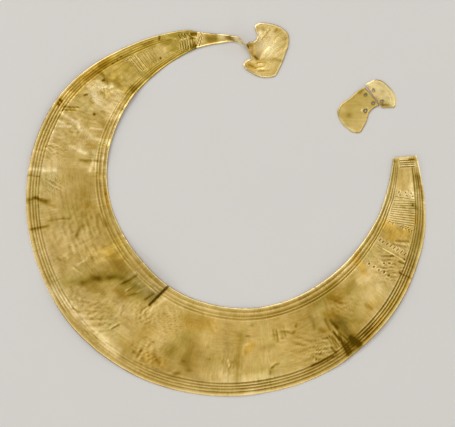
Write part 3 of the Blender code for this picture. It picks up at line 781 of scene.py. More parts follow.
@dataclass(frozen=True)
class BorderBand:
    """The incised lines along one edge: their distances from it at bearings, and how deep they still are."""

    edge: Edge
    distances: tuple
    depths: tuple

    @property
    def lines(self) -> int:
        """How many lines there are."""
        return len(self.distances[0]) - 1

    def attribute(self, name: str) -> str:
        """The full name of an attribute that the band has on the mesh."""
        return f"{self.edge.value}_{name}"

    def at(self, bearing: Grid) -> Grid:
        """Each line's distance from the edge at a bearing."""
        table = np.array(self.distances)
        return np.stack([np.interp(bearing, table[:, 0], line) for line in table[:, 1:].T], axis=-1)

    def depth(self, bearing: Grid) -> Grid:
        """How much of the lines is left at a bearing, from 0 to 1."""
        table = np.array(self.depths)
        return np.interp(bearing, table[:, 0], table[:, 1])


INNER_BAND = BorderBand(
    Edge.INNER,
    (
        (4, 1.2, 2.3, 3.2), (10, 1.8, 3.0, 3.9), (16, 1.9, 3.4, 4.6), (21, 1.65, 3.1, 4.3),
        (26, 1.7, 3.5, 4.8), (30, 2.0, 3.8, 4.9), (44, 2.0, 4.2, 5.5), (60, 2.05, 4.6, 6.0),
        (98, 2.05, 4.6, 6.2), (128, 2.4, 4.6, 6.2), (140, 2.8, 5.6, 6.9), (156, 2.6, 5.2, 6.6),
        (174, 2.1, 4.4, 6.1), (195, 1.8, 4.0, 5.5), (215, 1.5, 3.3, 4.5), (230, 1.4, 2.7, 3.8),
        (245, 1.2, 2.2, 3.1), (253.4, 1.1, 2.0, 2.8),
    ),
    (
        (2, 0.1), (4, 0.5), (12, 0.55), (18, 0.8), (23, 1.1), (28, 0.75), (60, 0.75), (80, 0.6), (95, 0.5),
        (112, 0.42), (122, 0.45), (132, 0.3), (158, 0.35), (166, 0.25), (172, 0.5), (200, 0.6), (212, 0.6),
        (222, 0.4), (240, 0.42), (247, 0.25), (251, 0.0),
    ),
)
OUTER_BAND = BorderBand(
    Edge.OUTER,
    (
        (4, 0.9, 1.8, 2.8, 3.8), (12, 1.1, 2.2, 3.4, 4.8), (25, 2.0, 3.5, 5.0, 6.0),
        (45, 2.1, 3.7, 5.2, 6.8), (100, 2.0, 3.75, 5.25, 6.8), (200, 2.0, 3.6, 5.2, 6.7),
        (215, 1.8, 3.2, 4.6, 6.0), (230, 1.3, 2.7, 4.0, 5.4), (245, 1.1, 2.1, 3.2, 4.2),
        (253.4, 0.9, 1.8, 2.7, 3.5),
    ),
    (
        (2, 0.2), (6, 0.55), (14, 0.6), (30, 0.75), (44, 1.1), (60, 1.2), (62, 0.3), (64, 0.3), (66, 0.6),
        (94, 0.9), (104, 0.65), (118, 0.45), (128, 0.15), (147, 0.1), (149, 0.6), (153, 0.6), (155, 0.4),
        (158, 0.5), (172, 0.6), (188, 0.65), (194, 0.95), (204, 0.95), (214, 0.45), (226, 0.35), (240, 0.4),
        (247, 0.1), (252, 0.0),
    ),
)


@dataclass(frozen=True)
class StrokeRow:
    """A row of equal strokes of the punch: where it runs, how many, and how each stroke lies and bites."""

    start: Place
    end: Place
    strokes: int
    length: float
    lean: float = 0.0  # degrees from straight across
    swing: float = 0.0  # degrees that every second stroke turns the other way
    depth: float = 0.08
    width: float = 0.26
    scatter: float = 0.06
    inside: bool = True  # whether the border bands stop it
    tone: float = 1.0  # how much dirt its cuts keep, and how bright the painted highlight on its crests is


STROKE_ROWS = (
    StrokeRow((1.4, 0.57), (3.75, 0.57), 4, 8.0, depth=0.12, width=0.38, inside=False, tone=1.1),
    StrokeRow((13.0, 0.34), (12.9, 0.67), 3, 1.0, lean=50, depth=0.10, width=0.36, tone=1.1),
    StrokeRow((14.1, 0.37), (13.9, 0.70), 3, 0.8, lean=20, depth=0.09, width=0.34, tone=1.1),
    StrokeRow((14.9, 0.5), (14.9, 0.5), 1, 14.0, depth=0.04, width=0.4, tone=0.6),
    StrokeRow(
        (16.0, 0.49), (24.2, 0.49), 11, 13.5, lean=10, depth=0.045, width=0.36, scatter=0.12, tone=0.65
    ),
    StrokeRow((24.7, 0.52), (25.2, 0.72), 5, 2.6, lean=42, depth=0.06, width=0.34, tone=0.95),
    StrokeRow((24.8, 0.25), (25.0, 0.33), 2, 1.4, lean=60, depth=0.12, width=0.36),
    StrokeRow((32.6, 0.23), (33.0, 0.73), 8, 1.7, lean=76, depth=0.14, width=0.42, scatter=0.15, tone=1.05),
    StrokeRow((34.5, 0.5), (35.4, 0.5), 2, 17.0, depth=0.018, width=0.4, tone=0.3),
    StrokeRow((38.2, 0.555), (39.3, 0.475), 2, 1.0, lean=50, depth=0.13, width=0.42),
    StrokeRow((42.5, 0.28), (41.7, 0.64), 5, 1.2, lean=66, depth=0.11, width=0.42, scatter=0.15, tone=1.05),
    StrokeRow(
        (228.9, 0.47), (232.0, 0.46), 4, 9.5, lean=-9, swing=3,
        depth=0.045, width=0.36, scatter=0.25, tone=0.6,
    ),
    StrokeRow(
        (233.4, 0.46), (237.6, 0.44), 5, 8.0, lean=-4, swing=3,
        depth=0.030, width=0.36, scatter=0.25, tone=0.4,
    ),
    StrokeRow((228.4, 0.68), (230.8, 0.72), 5, 1.1, lean=30, depth=0.05, scatter=0.15),
    StrokeRow(
        (247.8, 0.34), (255.0, 0.34), 8, 5.6, lean=-20, swing=4,
        depth=0.08, width=0.38, scatter=0.3, inside=False,
    ),
    StrokeRow(
        (249.2, 0.74), (254.8, 0.74), 6, 3.0, lean=14, swing=8,
        depth=0.06, width=0.38, scatter=0.35, inside=False,
    ),
)


# ---------------- finishes

Colour = tuple[float, float, float, float]


def new_material(name: str) -> tuple[bpy.types.Material, Nodes, bpy.types.bpy_prop_collection]:
    """Makes a material.

    Args:
        name: its name.

    Returns:
        The material, its nodes and the inputs of its shader.
    """
    made = bpy.data.materials.new(name)
    made.use_nodes = True
    return made, Nodes(made.node_tree), made.node_tree.nodes["Principled BSDF"].inputs


@dataclass(frozen=True)
class GoldFinish:
    """Old beaten gold: its colours from dirt and painted shade to rubbed metal and painted highlight, its
    satin and the fine marks in it.
    """

    name: str
    tones: tuple[tuple[float, Colour], ...]  # from dirt and painted shade at 0 to rubbed metal and painted highlight at 1
    clean: float  # where the plain metal stands between them
    olive: Colour  # what a greenish shade lets through
    roughness: float
    on_strip: bool  # whether the pattern follows the strip or the object
    orange: Colour = (1.0, 0.88, 0.50, 1.0)  # what an orange deposit lets through
    liveliness: float = 1.0  # how far the plain metal's tone strays
    scratch_depth: float = 0.030
    dimple_depth: float = 0.022
    # How far the tone falls for tarnish and painted shade, rises for rubbed wear and painted highlight, falls
    # for dirty cuts and painted shade, and rises for the painted highlight on crests.
    tarnish_and_shade_fall: float = 0.47
    gleam_rise: float = 0.24
    cut_and_shade_fall: float = 0.54
    crest_highlight_rise: float = 0.31

    def material(self) -> bpy.types.Material:
        """Makes the finish.

        Returns:
            The material.
        """
        made, nodes, inputs = new_material(self.name)
        nodes.join(inputs["Metallic"], 1.0)
        place = self.place(nodes)
        x, y, z = nodes.parts(place)
        broad = nodes.noise(place, 0.045, 3.0, 0.55)
        mottle = nodes.noise(place, 0.22, 4.0, 0.6)
        streak = nodes.noise(nodes.vector(x, y * 0.16, z), 0.9, 3.0, 0.6)
        run = nodes.noise(nodes.vector(x * 0.16, y, z + 7.0), 0.9, 3.0, 0.6)
        speck = nodes.noise(place, 1.6, 2.0, 0.5)
        grain = nodes.noise(place, 0.75, 3.0, 0.6)
        hue = nodes.noise(nodes.vector(x, y, z + 31.0), 0.07, 3.0, 0.55)
        stain, shade, tarnish_and_shade, gleam = (self.worn(nodes, work.value) for work in TONES)
        cuts_and_painted_light = self.worn(nodes, "cuts_and_painted_light")
        mixed = nodes.noise(nodes.vector(x, y, z + 53.0), 0.05, 2.0).eased(0.42, 0.58)
        scratch = streak * (1 - mixed) + run * mixed
        # The film is tarnish with painted shade; the shine below it is rubbed wear with painted highlight.
        film = tarnish_and_shade * (0.5 + mottle * 0.5 + scratch * 0.5)
        rubbed_and_highlight = gleam * (0.6 + mottle * 0.4 + scratch * 0.4)
        # The crests beside cuts get a painted highlight; the cuts keep dirt, and the tear, holes and break
        # get painted shade.
        crest = (cuts_and_painted_light * -2.6).clamped()
        cut = cuts_and_painted_light.clamped()
        stray = (broad - 0.5) * 0.5 + (mottle - 0.5) * 0.36 + (scratch - 0.5) * 0.40
        stray = stray + (grain - 0.5) * 0.12 - (1 - speck.eased(0.22, 0.34)) * 0.06
        tone = self.clean + stray * (1 - gleam.clamped() * 0.35) * self.liveliness
        tone = tone + rubbed_and_highlight * self.gleam_rise + crest * (0.5 + streak) * self.crest_highlight_rise
        tone = tone - film * self.tarnish_and_shade_fall - cut * (0.5 + mottle) * self.cut_and_shade_fall
        colour = nodes.add("ShaderNodeValToRGB", {"stops": self.tones}, {0: tone.clamped()})
        green = hue.eased(0.42, 0.75) * 0.5 + shade * 0.5
        colour = nodes.colours(green.clamped(), colour, self.olive, "MULTIPLY")
        colour = nodes.colours((stain * (0.5 + mottle)).clamped(), colour, self.orange, "MULTIPLY")
        nodes.join(inputs["Base Color"], colour)
        satin = self.roughness + (mottle - 0.5) * 0.16 + (scratch - 0.5) * 0.10
        nodes.join(inputs["Roughness"], satin + film * 0.08 - rubbed_and_highlight * 0.06 + cut * 0.08)
        height = scratch * 1.6 + grain * 0.5 + speck.eased(0.22, 0.34) * 0.15
        scratches = {"Strength": 1.0, "Distance": self.scratch_depth * MM, "Height": height}
        dimples = {"Strength": 1.0, "Distance": self.dimple_depth * MM, "Height": mottle}
        dimples["Normal"] = nodes.add("ShaderNodeBump", {}, scratches)
        nodes.join(inputs["Normal"], nodes.add("ShaderNodeBump", {}, dimples))
        return made

    def place(self, nodes: Nodes) -> Value:
        """Where the pattern is read, in millimetres.

        Args:
            nodes: the material's nodes.

        Returns:
            The place.
        """
        if self.on_strip:
            return nodes.add("ShaderNodeAttribute", {"attribute_name": "strip"}, {}, "Vector")
        here = nodes.add("ShaderNodeTexCoord", {}, {}, "Object")
        return nodes.scaled(here, 1 / MM)

    def worn(self, nodes: Nodes, name: str) -> Value:
        """How strong one stored mark is, such as a stain, tarnish with painted shade, or wear with painted
        highlight.
        """
        return nodes.add("ShaderNodeAttribute", {"attribute_name": name}, {}, "Fac")


@dataclass(frozen=True)
class GroundFinish:
    """A plain pale matt floor."""

    name: str = "pale_ground"
    light: Colour = (0.82, 0.825, 0.84, 1.0)
    dark: Colour = (0.79, 0.795, 0.81, 1.0)
    roughness: float = 0.85

    def material(self) -> bpy.types.Material:
        """Makes the finish.

        Returns:
            The material.
        """
        made, nodes, inputs = new_material(self.name)
        nodes.join(inputs["Roughness"], self.roughness)
        here = nodes.add("ShaderNodeTexCoord", {}, {}, "Object")
        colour = nodes.colours(nodes.noise(here, 14.0, 4.0, 0.6), self.dark, self.light)
        nodes.join(inputs["Base Color"], colour)
        return made


OLD_GOLD = (
    (0.0, (0.118, 0.066, 0.003, 1.0)), (0.2, (0.239, 0.143, 0.014, 1.0)), (0.4, (0.392, 0.260, 0.048, 1.0)),
    (0.6, (0.580, 0.418, 0.136, 1.0)), (0.8, (0.795, 0.620, 0.288, 1.0)), (1.0, (1.000, 0.835, 0.465, 1.0)),
)
BEATEN_GOLD = GoldFinish(
    "beaten_gold", tones=OLD_GOLD, clean=0.618, olive=(0.89, 0.98, 0.86, 1.0), roughness=0.28, on_strip=True
)
TERMINAL_GOLD = GoldFinish(
    "terminal_gold", tones=OLD_GOLD, clean=0.66, olive=(0.92, 0.98, 0.80, 1.0), roughness=0.34,
    on_strip=False, liveliness=0.75, scratch_depth=0.014, dimple_depth=0.010,
)


# ---------------- engraving


class GeometryTree(Nodes):
    """A Geometry Nodes tree with named inputs, which ends in Realize Instances and Set Material."""

    KINDS = {float: "Float", int: "Int", str: "String", tuple: "Vector", type(None): "Material"}

    def __init__(self, name: str, inputs: Mapping[str, object]) -> None:
        """Makes the tree and its inputs.

        Args:
            name: the tree's name.
            inputs: each input's name and starting value. None stands for a material.
        """
        super().__init__(bpy.data.node_groups.new(name, "GeometryNodeTree"))
        face = self.tree.interface
        face.new_socket("Geometry", in_out="OUTPUT", socket_type="NodeSocketGeometry")
        face.new_socket("Geometry", in_out="INPUT", socket_type="NodeSocketGeometry")
        self.identifiers = {}
        for label, start in inputs.items():
            kind = f"NodeSocket{self.KINDS[type(start)]}"
            socket = face.new_socket(label, in_out="INPUT", socket_type=kind)
            if start is not None:
                socket.default_value = start
            self.identifiers[label] = socket.identifier
        group = self.tree.nodes.new("NodeGroupInput")
        self.given = {socket.name: Value(self, socket) for socket in group.outputs if socket.name}

    def stored(self, name: object, kind: str = "FLOAT") -> Value:
        """A named attribute of the mesh."""
        return self.add("GeometryNodeInputNamedAttribute", {"data_type": kind}, {"Name": name})

    def cut(self, share: Value) -> Value:
        """Presses the decorated face in.

        Args:
            share: how far in, as a part of the input Depth. Less than 0 raises it.

        Returns:
            The cut geometry, with the share added to the stored attribute for the cuts, which keeps dirt in
            the cuts and a painted highlight on the crests.
        """
        amount = share * self.stored("decorated")
        push = self.scaled(self.stored("facing", "FLOAT_VECTOR"), amount * self.given["Depth"] * -MM)
        moved = self.add("GeometryNodeSetPosition", {}, {"Geometry": self.given["Geometry"], "Offset": push})
        toned = amount * self.given["Tone"] + self.stored("cuts_and_painted_light")
        kept = {"Geometry": moved, "Name": "cuts_and_painted_light", "Value": toned}
        return self.add("GeometryNodeStoreNamedAttribute", {"data_type": "FLOAT"}, kept)

    def end(self, geometry: Value) -> None:
        """Closes the tree.

        Args:
            geometry: what it hands back.
        """
        real = self.add("GeometryNodeRealizeInstances", {}, {0: geometry})
        dressed = self.add("GeometryNodeSetMaterial", {}, {0: real, 2: self.given["Material"]})
        self.tree.links.new(dressed.socket, self.tree.nodes.new("NodeGroupOutput").inputs[0])

    def apply(self, piece: bpy.types.Object, name: str, values: Mapping[str, object]) -> None:
        """Puts the tree on a piece as a modifier with these inputs.

        Args:
            piece: the piece.
            name: the modifier's name.
            values: the inputs by name.
        """
        modifier = piece.modifiers.new(name, "NODES")
        modifier.node_group = self.tree
        for label, given in values.items():
            modifier[self.identifiers[label]] = given


@dataclass
class Engraver:
    """The hand that cut the border lines and the rows of strokes."""

    material: bpy.types.Material
    line_depth: float = 0.20
    line_width: float = 0.60
    wide_pitch: float = 1.5  # closer lines are narrower
    line_wear: float = 0.5
    crest_height: float = 0.4
    crest_place: float = 1.25  # in groove widths
    crest_width: float = 0.70
    wear_scale: float = 0.11  # for a millimetre
    seed_step: float = 17.3  # how far apart two bands read the wear, in millimetres
    past_band: tuple = (0.25, 0.6)  # where strokes start and end to show beyond a border, in lines
    stroke_least: float = 0.65
    stroke_uneven: float = 0.7

    def band_tree(self) -> GeometryTree:
        """Builds the tree for lines that follow an edge.

        Returns:
            The tree. Its attributes' names are inputs, so that one tree serves both edges.
        """
        inputs = {"Place": "", "Pitch": "", "Left": "", "Lines": 3, "Depth": 0.1, "Width": 0.5, "Wear": 0.3}
        tree = GeometryTree("border_lines", {**inputs, "Tone": 1.0, "Seed": 1, "Material": None})
        place = tree.stored(tree.given["Place"])
        line = place.maths("ROUND").maths("MAXIMUM", 1.0).maths("MINIMUM", tree.given["Lines"])
        pitch = tree.stored(tree.given["Pitch"])
        width = tree.given["Width"] * (pitch / self.wide_pitch).maths("MINIMUM", 1.0)
        distance = (place - line) * pitch / width
        bite = self.profile(distance, distance - self.crest_place)
        shift = tree.vector(0.0, 0.0, tree.given["Seed"] * self.seed_step)
        strip = {0: tree.stored("strip", "FLOAT_VECTOR"), 1: shift}
        spot = tree.add("ShaderNodeVectorMath", {"operation": "ADD"}, strip)
        worn = tree.noise(spot, self.wear_scale, 2.0) * tree.given["Wear"]
        tree.end(tree.cut(bite * tree.stored(tree.given["Left"]) * (1 - worn)))
        return tree

    def profile(self, from_bottom: Value, from_crest: Value) -> Value:
        """A groove and the crest that the tool threw up beside it, for distances in groove widths.

        Args:
            from_bottom: distance from the groove's bottom.
            from_crest: distance from the crest's top.

        Returns:
            How deep the place is, or less than 0 on the crest.
        """
        groove = (1 - from_bottom * from_bottom).clamped()
        crest = (1 - from_crest * from_crest / self.crest_width**2).clamped()
        return groove * groove - crest * self.crest_height

    def row_tree(self) -> GeometryTree:
        """Builds the tree for a row of strokes.

        Returns:
            The tree. Its sizes are in millimetres and radians.
        """
        inputs = {"Start": (0.0, 0.0, 0.0), "End": (0.0, 0.0, 0.0), "Strokes": 3, "Length": 1.0, "Lean": 0.0}
        inputs |= {"Swing": 0.0, "Scatter": 0.0, "Depth": 0.1, "Width": 0.3, "Inside": 1.0, "Seed": 1}
        tree = GeometryTree("stroke_row", {**inputs, "Tone": 1.0, "Material": None})
        given = tree.given
        spots = {"Count": given["Strokes"], "Start Location": given["Start"], "Offset": given["End"]}
        points = tree.add("GeometryNodeMeshLine", {"mode": "END_POINTS"}, spots)
        chance = {"Seed": given["Seed"], 0: (-1.0, -1.0, 0.0), 1: (1.0, 1.0, 0.0)}
        strayed = tree.add("FunctionNodeRandomValue", {"data_type": "FLOAT_VECTOR"}, chance)
        strayed = tree.scaled(strayed, given["Scatter"])
        points = tree.add("GeometryNodeSetPosition", {}, {"Geometry": points, "Offset": strayed})
        half = given["Length"] * 0.5
        ends = {"Count": 2, "Start Location": tree.vector(0.0, half * -1), "Offset": tree.vector(0.0, half)}
        stroke = tree.add("GeometryNodeMeshLine", {"mode": "END_POINTS"}, ends)
        turn = tree.add("GeometryNodeInputIndex").maths("MODULO", 2.0) * 2 - 1
        turned = tree.vector(0.0, 0.0, given["Lean"] + given["Swing"] * turn)
        placed = {"Points": points, "Instance": stroke, "Rotation": turned}
        strokes = tree.add("GeometryNodeInstanceOnPoints", {}, placed)
        strokes = tree.add("GeometryNodeRealizeInstances", {}, {0: strokes})
        strip = tree.stored("strip", "FLOAT_VECTOR")
        near = {"Geometry": strokes, "Sample Position": strip}
        distance = tree.add("GeometryNodeProximity", {"target_element": "EDGES"}, near, "Distance")
        apart = distance / given["Width"]
        bite = self.profile(apart, apart - self.crest_place)
        clear = 1.0
        for band in (INNER_BAND, OUTER_BAND):
            low, high = (band.lines + past for past in self.past_band)
            clear = tree.stored(band.attribute("place")).eased(low, high) * clear
        uneven = self.stroke_least + self.stroke_uneven * tree.noise(strip, 0.6, 1.0)
        tree.end(tree.cut(bite * uneven * (1 - given["Inside"] * (1 - clear))))
        return tree

    def engrave(self, piece: bpy.types.Object, plan: CrescentPlan, strip_pitch: float) -> None:
        """Cuts all lines and strokes, and leaves a plain mesh.

        Args:
            piece: the sheet.
            plan: the crescent's plan, for the places of the rows.
            strip_pitch: how many millimetres of the strip one degree is.
        """
        band_tree, row_tree = self.band_tree(), self.row_tree()
        for seed, band in enumerate((INNER_BAND, OUTER_BAND), start=1):
            values = {name: band.attribute(name.lower()) for name in ("Place", "Pitch", "Left")}
            values |= {"Depth": self.line_depth, "Width": self.line_width, "Wear": self.line_wear}
            values |= {"Lines": band.lines, "Seed": seed, "Material": self.material}
            band_tree.apply(piece, band.attribute("band"), values)
        for seed, row in enumerate(STROKE_ROWS, start=1):
            start, end = (
                (bearing * strip_pitch, float(plan.width(np.array(bearing)) * across), 0.0)
                for bearing, across in (row.start, row.end)
            )
            values = {field.name.capitalize(): getattr(row, field.name) for field in fields(row)}
            values |= {"Start": start, "End": end, "Inside": float(row.inside), "Seed": seed}
            values |= {"Lean": math.radians(row.lean), "Swing": math.radians(row.swing)}
            row_tree.apply(piece, f"row_{seed:02d}", {**values, "Material": self.material})
        bpy.context.view_layer.update()
        solid = piece.evaluated_get(bpy.context.evaluated_depsgraph_get())
        mesh = bpy.data.meshes.new_from_object(solid)
        piece.modifiers.clear()
        piece.data = mesh


# ---------------- pieces


def put_in_place(mesh: bpy.types.Mesh, node: str) -> None:
    """Moves a mesh to where the frame has the node it stands for.

    Args:
        mesh: the mesh.
        node: the node.
    """
    low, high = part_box(node)
    places = np.empty(len(mesh.vertices) * 3, np.float32)
    mesh.vertices.foreach_get("co", places)
    places = places.reshape(-1, 3)
    own_low, own_high = places.min(axis=0), places.max(axis=0)
    shift = (np.array(low) + np.array(high) - own_low - own_high) / 2
    shift[2] = low[2] - own_low[2]
    mesh.vertices.foreach_set("co", (places + shift).astype(np.float32).ravel())
    mesh.update()


def shade(mesh: bpy.types.Mesh, sharp_angle: float = 50.0) -> None:
    """Shades a mesh smooth, apart from edges sharper than an angle in degrees."""
    mesh.shade_smooth()
    mesh.set_sharp_from_angle(angle=math.radians(sharp_angle))


def new_piece(name: str, mesh: bpy.types.Mesh) -> bpy.types.Object:
    """A piece of that mesh in the scene.

    Args:
        name: the piece's name.
        mesh: its mesh.

    Returns:
        The piece.
    """
    piece = bpy.data.objects.new(name, mesh)
    bpy.context.scene.collection.objects.link(piece)
    return piece


def store(mesh: bpy.types.Mesh, name: str, values: Grid) -> None:
    """Stores one number or one vector for each vertex.

    Args:
        mesh: the mesh.
        name: the attribute's name.
        values: a row for each vertex.
    """
    vector = values.ndim == 2
    attribute = mesh.attributes.new(name, "FLOAT_VECTOR" if vector else "FLOAT", "POINT")
    attribute.data.foreach_set("vector" if vector else "value", values.astype(np.float32).ravel())


@dataclass(kw_only=True)
class GoldPiece:
    """A piece of sheet gold: its name, the node it stands for, its thickness and its edges."""

    name: str
    node: str
    slot: str
    finish: GoldFinish
    bead_height: float
    bead_place: float
    bead_width: float
    body: str = "root"
    thickness: float = 0.36
    edge_round: float = 0.10
    edge_reach: float = 0.12  # how far from an edge its rounding starts
    back_tone: float = 0.3  # how much of the front's stain, tint, tarnish with painted shade and wear with painted highlight the back has

    def bead(self, edge: Grid) -> Grid:
        """How strong the thickened rim is at distances from the edge, from 0 to 1."""
        return bell(edge - self.bead_place, self.bead_width)

    def rounding(self, edge: Grid) -> Grid:
        """How far a face falls away at distances from the edge."""
        return self.edge_round * bell(edge, self.edge_reach)

    def put(self, piece: bpy.types.Object) -> bpy.types.Object:
        """Puts a finished piece where it belongs.

        Args:
            piece: the piece.

        Returns:
            The same piece.
        """
        put_in_place(piece.data, self.node)
        shade(piece.data)
        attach(piece, self.body)
        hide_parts(self.node)
        return piece


@dataclass(kw_only=True)
class BeatenSheet(GoldPiece):
    """The crescent, its twisted neck and its terminal: one sheet of gold."""

    name: str = "gold_sheet"
    node: str = "lunula_sheet"
    slot: str = "beaten_gold"
    finish: GoldFinish = BEATEN_GOLD
    bead_height: float = 0.09
    bead_place: float = 0.45
    bead_width: float = 0.3
    crescent: CrescentPlan = CrescentPlan()
    neck: NeckPlan = NeckPlan()
    loose: float = 0.2  # how far the whole sheet stands off, so that its hollows show
    strip_pitch: float = 1.7  # millimetres of the strip for a degree
    # Start and end bearing, then the distance between rows.
    row_zones: tuple = (
        (0.0, 5.6, 0.22), (5.6, 13.0, 0.5), (13.0, 25.2, 0.15), (25.2, 31.8, 0.5), (31.8, 43.0, 0.22),
        (43.0, 60.0, 0.6), (60.0, 72.0, 0.3), (72.0, 96.0, 0.55), (96.0, 104.0, 0.45), (104.0, 127.0, 0.6),
        (127.0, 131.0, 0.3), (131.0, 146.0, 0.3), (146.0, 169.0, 0.5), (169.0, 180.0, 0.36),
        (180.0, 184.0, 0.5), (184.0, 222.0, 0.38), (222.0, 226.0, 0.5), (226.0, 253.4, 0.21),
    )
    neck_rows: tuple = ((0.015, 0.22, 24), (0.22, 1.0, 32))
    terminal_rows: int = 48
    middle_columns: int = 48
    rim_columns: tuple = (0.0, 0.15, 0.42, 0.78, 1.25)
    # The columns across a border line, in steps: its near shoulder, its bottom, its crest and beyond.
    groove_columns: tuple = (-1.0, 0.0, 1.0, 2.1)
    groove_step: float = 0.35
    groove_share: float = 0.23  # a step is never more than this share of the gap between lines
    rim_clear: float = 1.3  # how many steps the rim's columns stay clear of the first line
    rim_span: float = 1.35  # what they take up, unless they are squeezed
    least_squeeze: float = 0.2
    relief_share: float = 0.18
    # A painted highlight along the thickened rim.
    rim_gleam: float = 1.3
    back_reach: float = 0.2  # how far from an edge the back's rounding starts
    # How far the painted shade along the tear reaches.
    tear_shade: float = 0.6
    crumple_light_and_shade: float = 13.0  # painted highlight on crumpled crests and painted shade in their hollows, for each millimetre
    wander: tuple = ((9.0, 0.4, 61), (3.0, 0.15, 63))  # how toned patches stray: length, reach and seed
    wander_from: float = 1.0  # the half width from which a patch's edge strays
    beaten: tuple = ((22.0, 0.08, 1), (8.0, 0.022, 2), (3.2, 0.012, 3))  # wave length, height and seed
    terminal_traces: tuple = ()
    neck_gap: float = 0.2  # millimetres of the strip from the crescent to the neck
    neck_turn: float = 0.78  # at which share of the neck the strip stands on edge
    neck_beaten: float = 0.15  # how much of the unevenness there is where the neck starts
    neck_melt: float = 0.5  # by which share of the neck its columns are evenly spaced
    tone_limit: float = 1.6
    far: float = 40.0  # how far past its last line a border's count of lines goes on
    nowhere: float = 20.0  # the count where there is no border

    def __post_init__(self) -> None:
        """Works out the crescent's rows and how far across their vertices are."""
        self.rows = self.bearings()
        self.columns = self.across(self.rows)

    def bearings(self) -> Grid:
        """The bearings of the crescent's rows, an even number of steps in each zone.

        Returns:
            The bearings, from the horn on.
        """
        rows = [np.zeros(1)]
        for start, end, step in self.row_zones:
            steps = 2 * math.ceil((end - start) / step / 2)
            rows.append(np.linspace(start, end, steps + 1)[1:])
        return np.concatenate(rows)

    def band_columns(self, lines: Grid) -> Grid:
        """The columns from an edge to its last line, in millimetres, for each row's line distances.

        Args:
            lines: each row's distances from the edge to its lines.

        Returns:
            Each row's columns.
        """
        gaps = np.diff(lines, axis=1).min(axis=1)
        half = np.minimum(self.groove_step, self.groove_share * gaps)
        squeeze = np.clip((lines[:, 0] - self.rim_clear * half) / self.rim_span, self.least_squeeze, 1.0)
        rim = squeeze[:, None] * np.array(self.rim_columns)
        grooves = lines[:, :, None] + half[:, None, None] * np.array(self.groove_columns)
        return np.concatenate([rim, grooves.reshape(len(lines), -1)], axis=1)

    def across(self, bearings: Grid) -> Grid:
        """How far across each column is, for each row of the crescent.

        Args:
            bearings: the rows' bearings.

        Returns:
            Shares of the width, from the inner edge.
        """
        width = self.crescent.width(bearings)[:, None]
        inner = self.band_columns(INNER_BAND.at(bearings))
        outer = width - self.band_columns(OUTER_BAND.at(bearings))[:, ::-1]
        share = np.linspace(0, 1, self.middle_columns + 1)[1:-1]
        middle = inner[:, -1:] + (outer[:, :1] - inner[:, -1:]) * share
        return np.concatenate([inner, middle, outer], axis=1) / width

    def relief(self, x: Grid, y: Grid, u: Grid, v: Grid, paths: TracePaths) -> Grid:
        """The height of creases, ridges and beaten unevenness.

        Args:
            x: plan positions.
            y: the second part of those.
            u: places along the strip.
            v: places across it.
            paths: the traces with their paths in plan.

        Returns:
            Heights in millimetres.
        """
        total = np.zeros_like(x)
        for trace, path in paths:
            if trace.work in FOLDS:
                total += trace.strength(x, y, path) * self.relief_share
        for length, height, seed in self.beaten:
            total += waves(u, v, length, 0.0, 45.0, seed) * height
        return total

    def tones(self, points: Grid, edge: Grid) -> dict[str, Grid]:
        """How stained, olive, tarnished with painted shade, and rubbed with painted highlight each vertex of
        the front is.

        Args:
            points: the middle surface.
            edge: how far each vertex is from the sheet's nearest edge.

        Returns:
            Each kind's strength by its name.
        """
        plain = [points[..., 0], points[..., 1]]
        strayed = list(plain)
        for length, reach, seed in self.wander:
            for axis in (0, 1):
                strayed[axis] = strayed[axis] + waves(*plain, length, 0.0, 90.0, seed + axis) * reach
        paths = [(trace, self.crescent.path(trace.path)) for trace in CRESCENT_TRACES]
        tones = self.traced(plain, strayed, paths)
        terminal = self.traced(plain, strayed, [(trace, list(trace.path)) for trace in self.terminal_traces])
        rows = len(self.rows)
        # Crumpled crests get a painted highlight and their hollows painted shade.
        crumpled = self.crumpled() * self.crumple_light_and_shade
        tones[WEAR_AND_HIGHLIGHT.value][:rows] += np.maximum(0.0, crumpled)
        tones[TARNISH_AND_SHADE.value][:rows] += np.maximum(0.0, -crumpled)
        for name, values in tones.items():
            values[rows:] = terminal[name][rows:]
        # A painted highlight along the thickened rim.
        tones[WEAR_AND_HIGHLIGHT.value] += self.rim_gleam * self.bead(edge)
        return tones

    def traced(self, plain: list[Grid], strayed: list[Grid], paths: TracePaths) -> dict[str, Grid]:
        """The strength of the stain, the olive shade, the tarnish with painted shade and the wear with
        painted highlight that traces leave.

        Args:
            plain: plan positions, where narrow traces are read.
            strayed: the same after they have strayed, where wide traces are read.
            paths: the traces with their paths in plan.

        Returns:
            Each kind's strength by its name.
        """
        found = {work.value: np.zeros_like(plain[0]) for work in TONES}
        for trace, path in paths:
            toned = trace.toned()
            places = strayed if toned.width > self.wander_from else plain
            found[toned.work.value] += toned.strength(*places, path)
        return {name: np.clip(values, 0, self.tone_limit) for name, values in found.items()}

    def crescent_points(self, side: int) -> Grid:
        """The middle surface of the crescent.

        Args:
            side: -1 for the part before the tear and 1 for the part beyond it.

        Returns:
            Points, without half the thickness.
        """
        plan, across = self.crescent, self.columns
        bearing = plan.leaned(self.rows[:, None], across)
        x, y = plan.place(bearing, across)
        u, v = bearing * self.strip_pitch, across * plan.width(bearing)
        paths = [(trace, plan.path(trace.path)) for trace in CRESCENT_TRACES]
        height = self.loose + plan.rise(bearing, x, y) + self.relief(x, y, u, v, paths)
        height = height + self.crumpled()
        if side > 0:
            height = height + plan.lip_rise(bearing, across)
        shift_x, shift_y = plan.tear_shift(self.rows[:, None], across, side)
        return np.stack([x + shift_x, y + shift_y, np.maximum(0.0, height)], axis=-1)

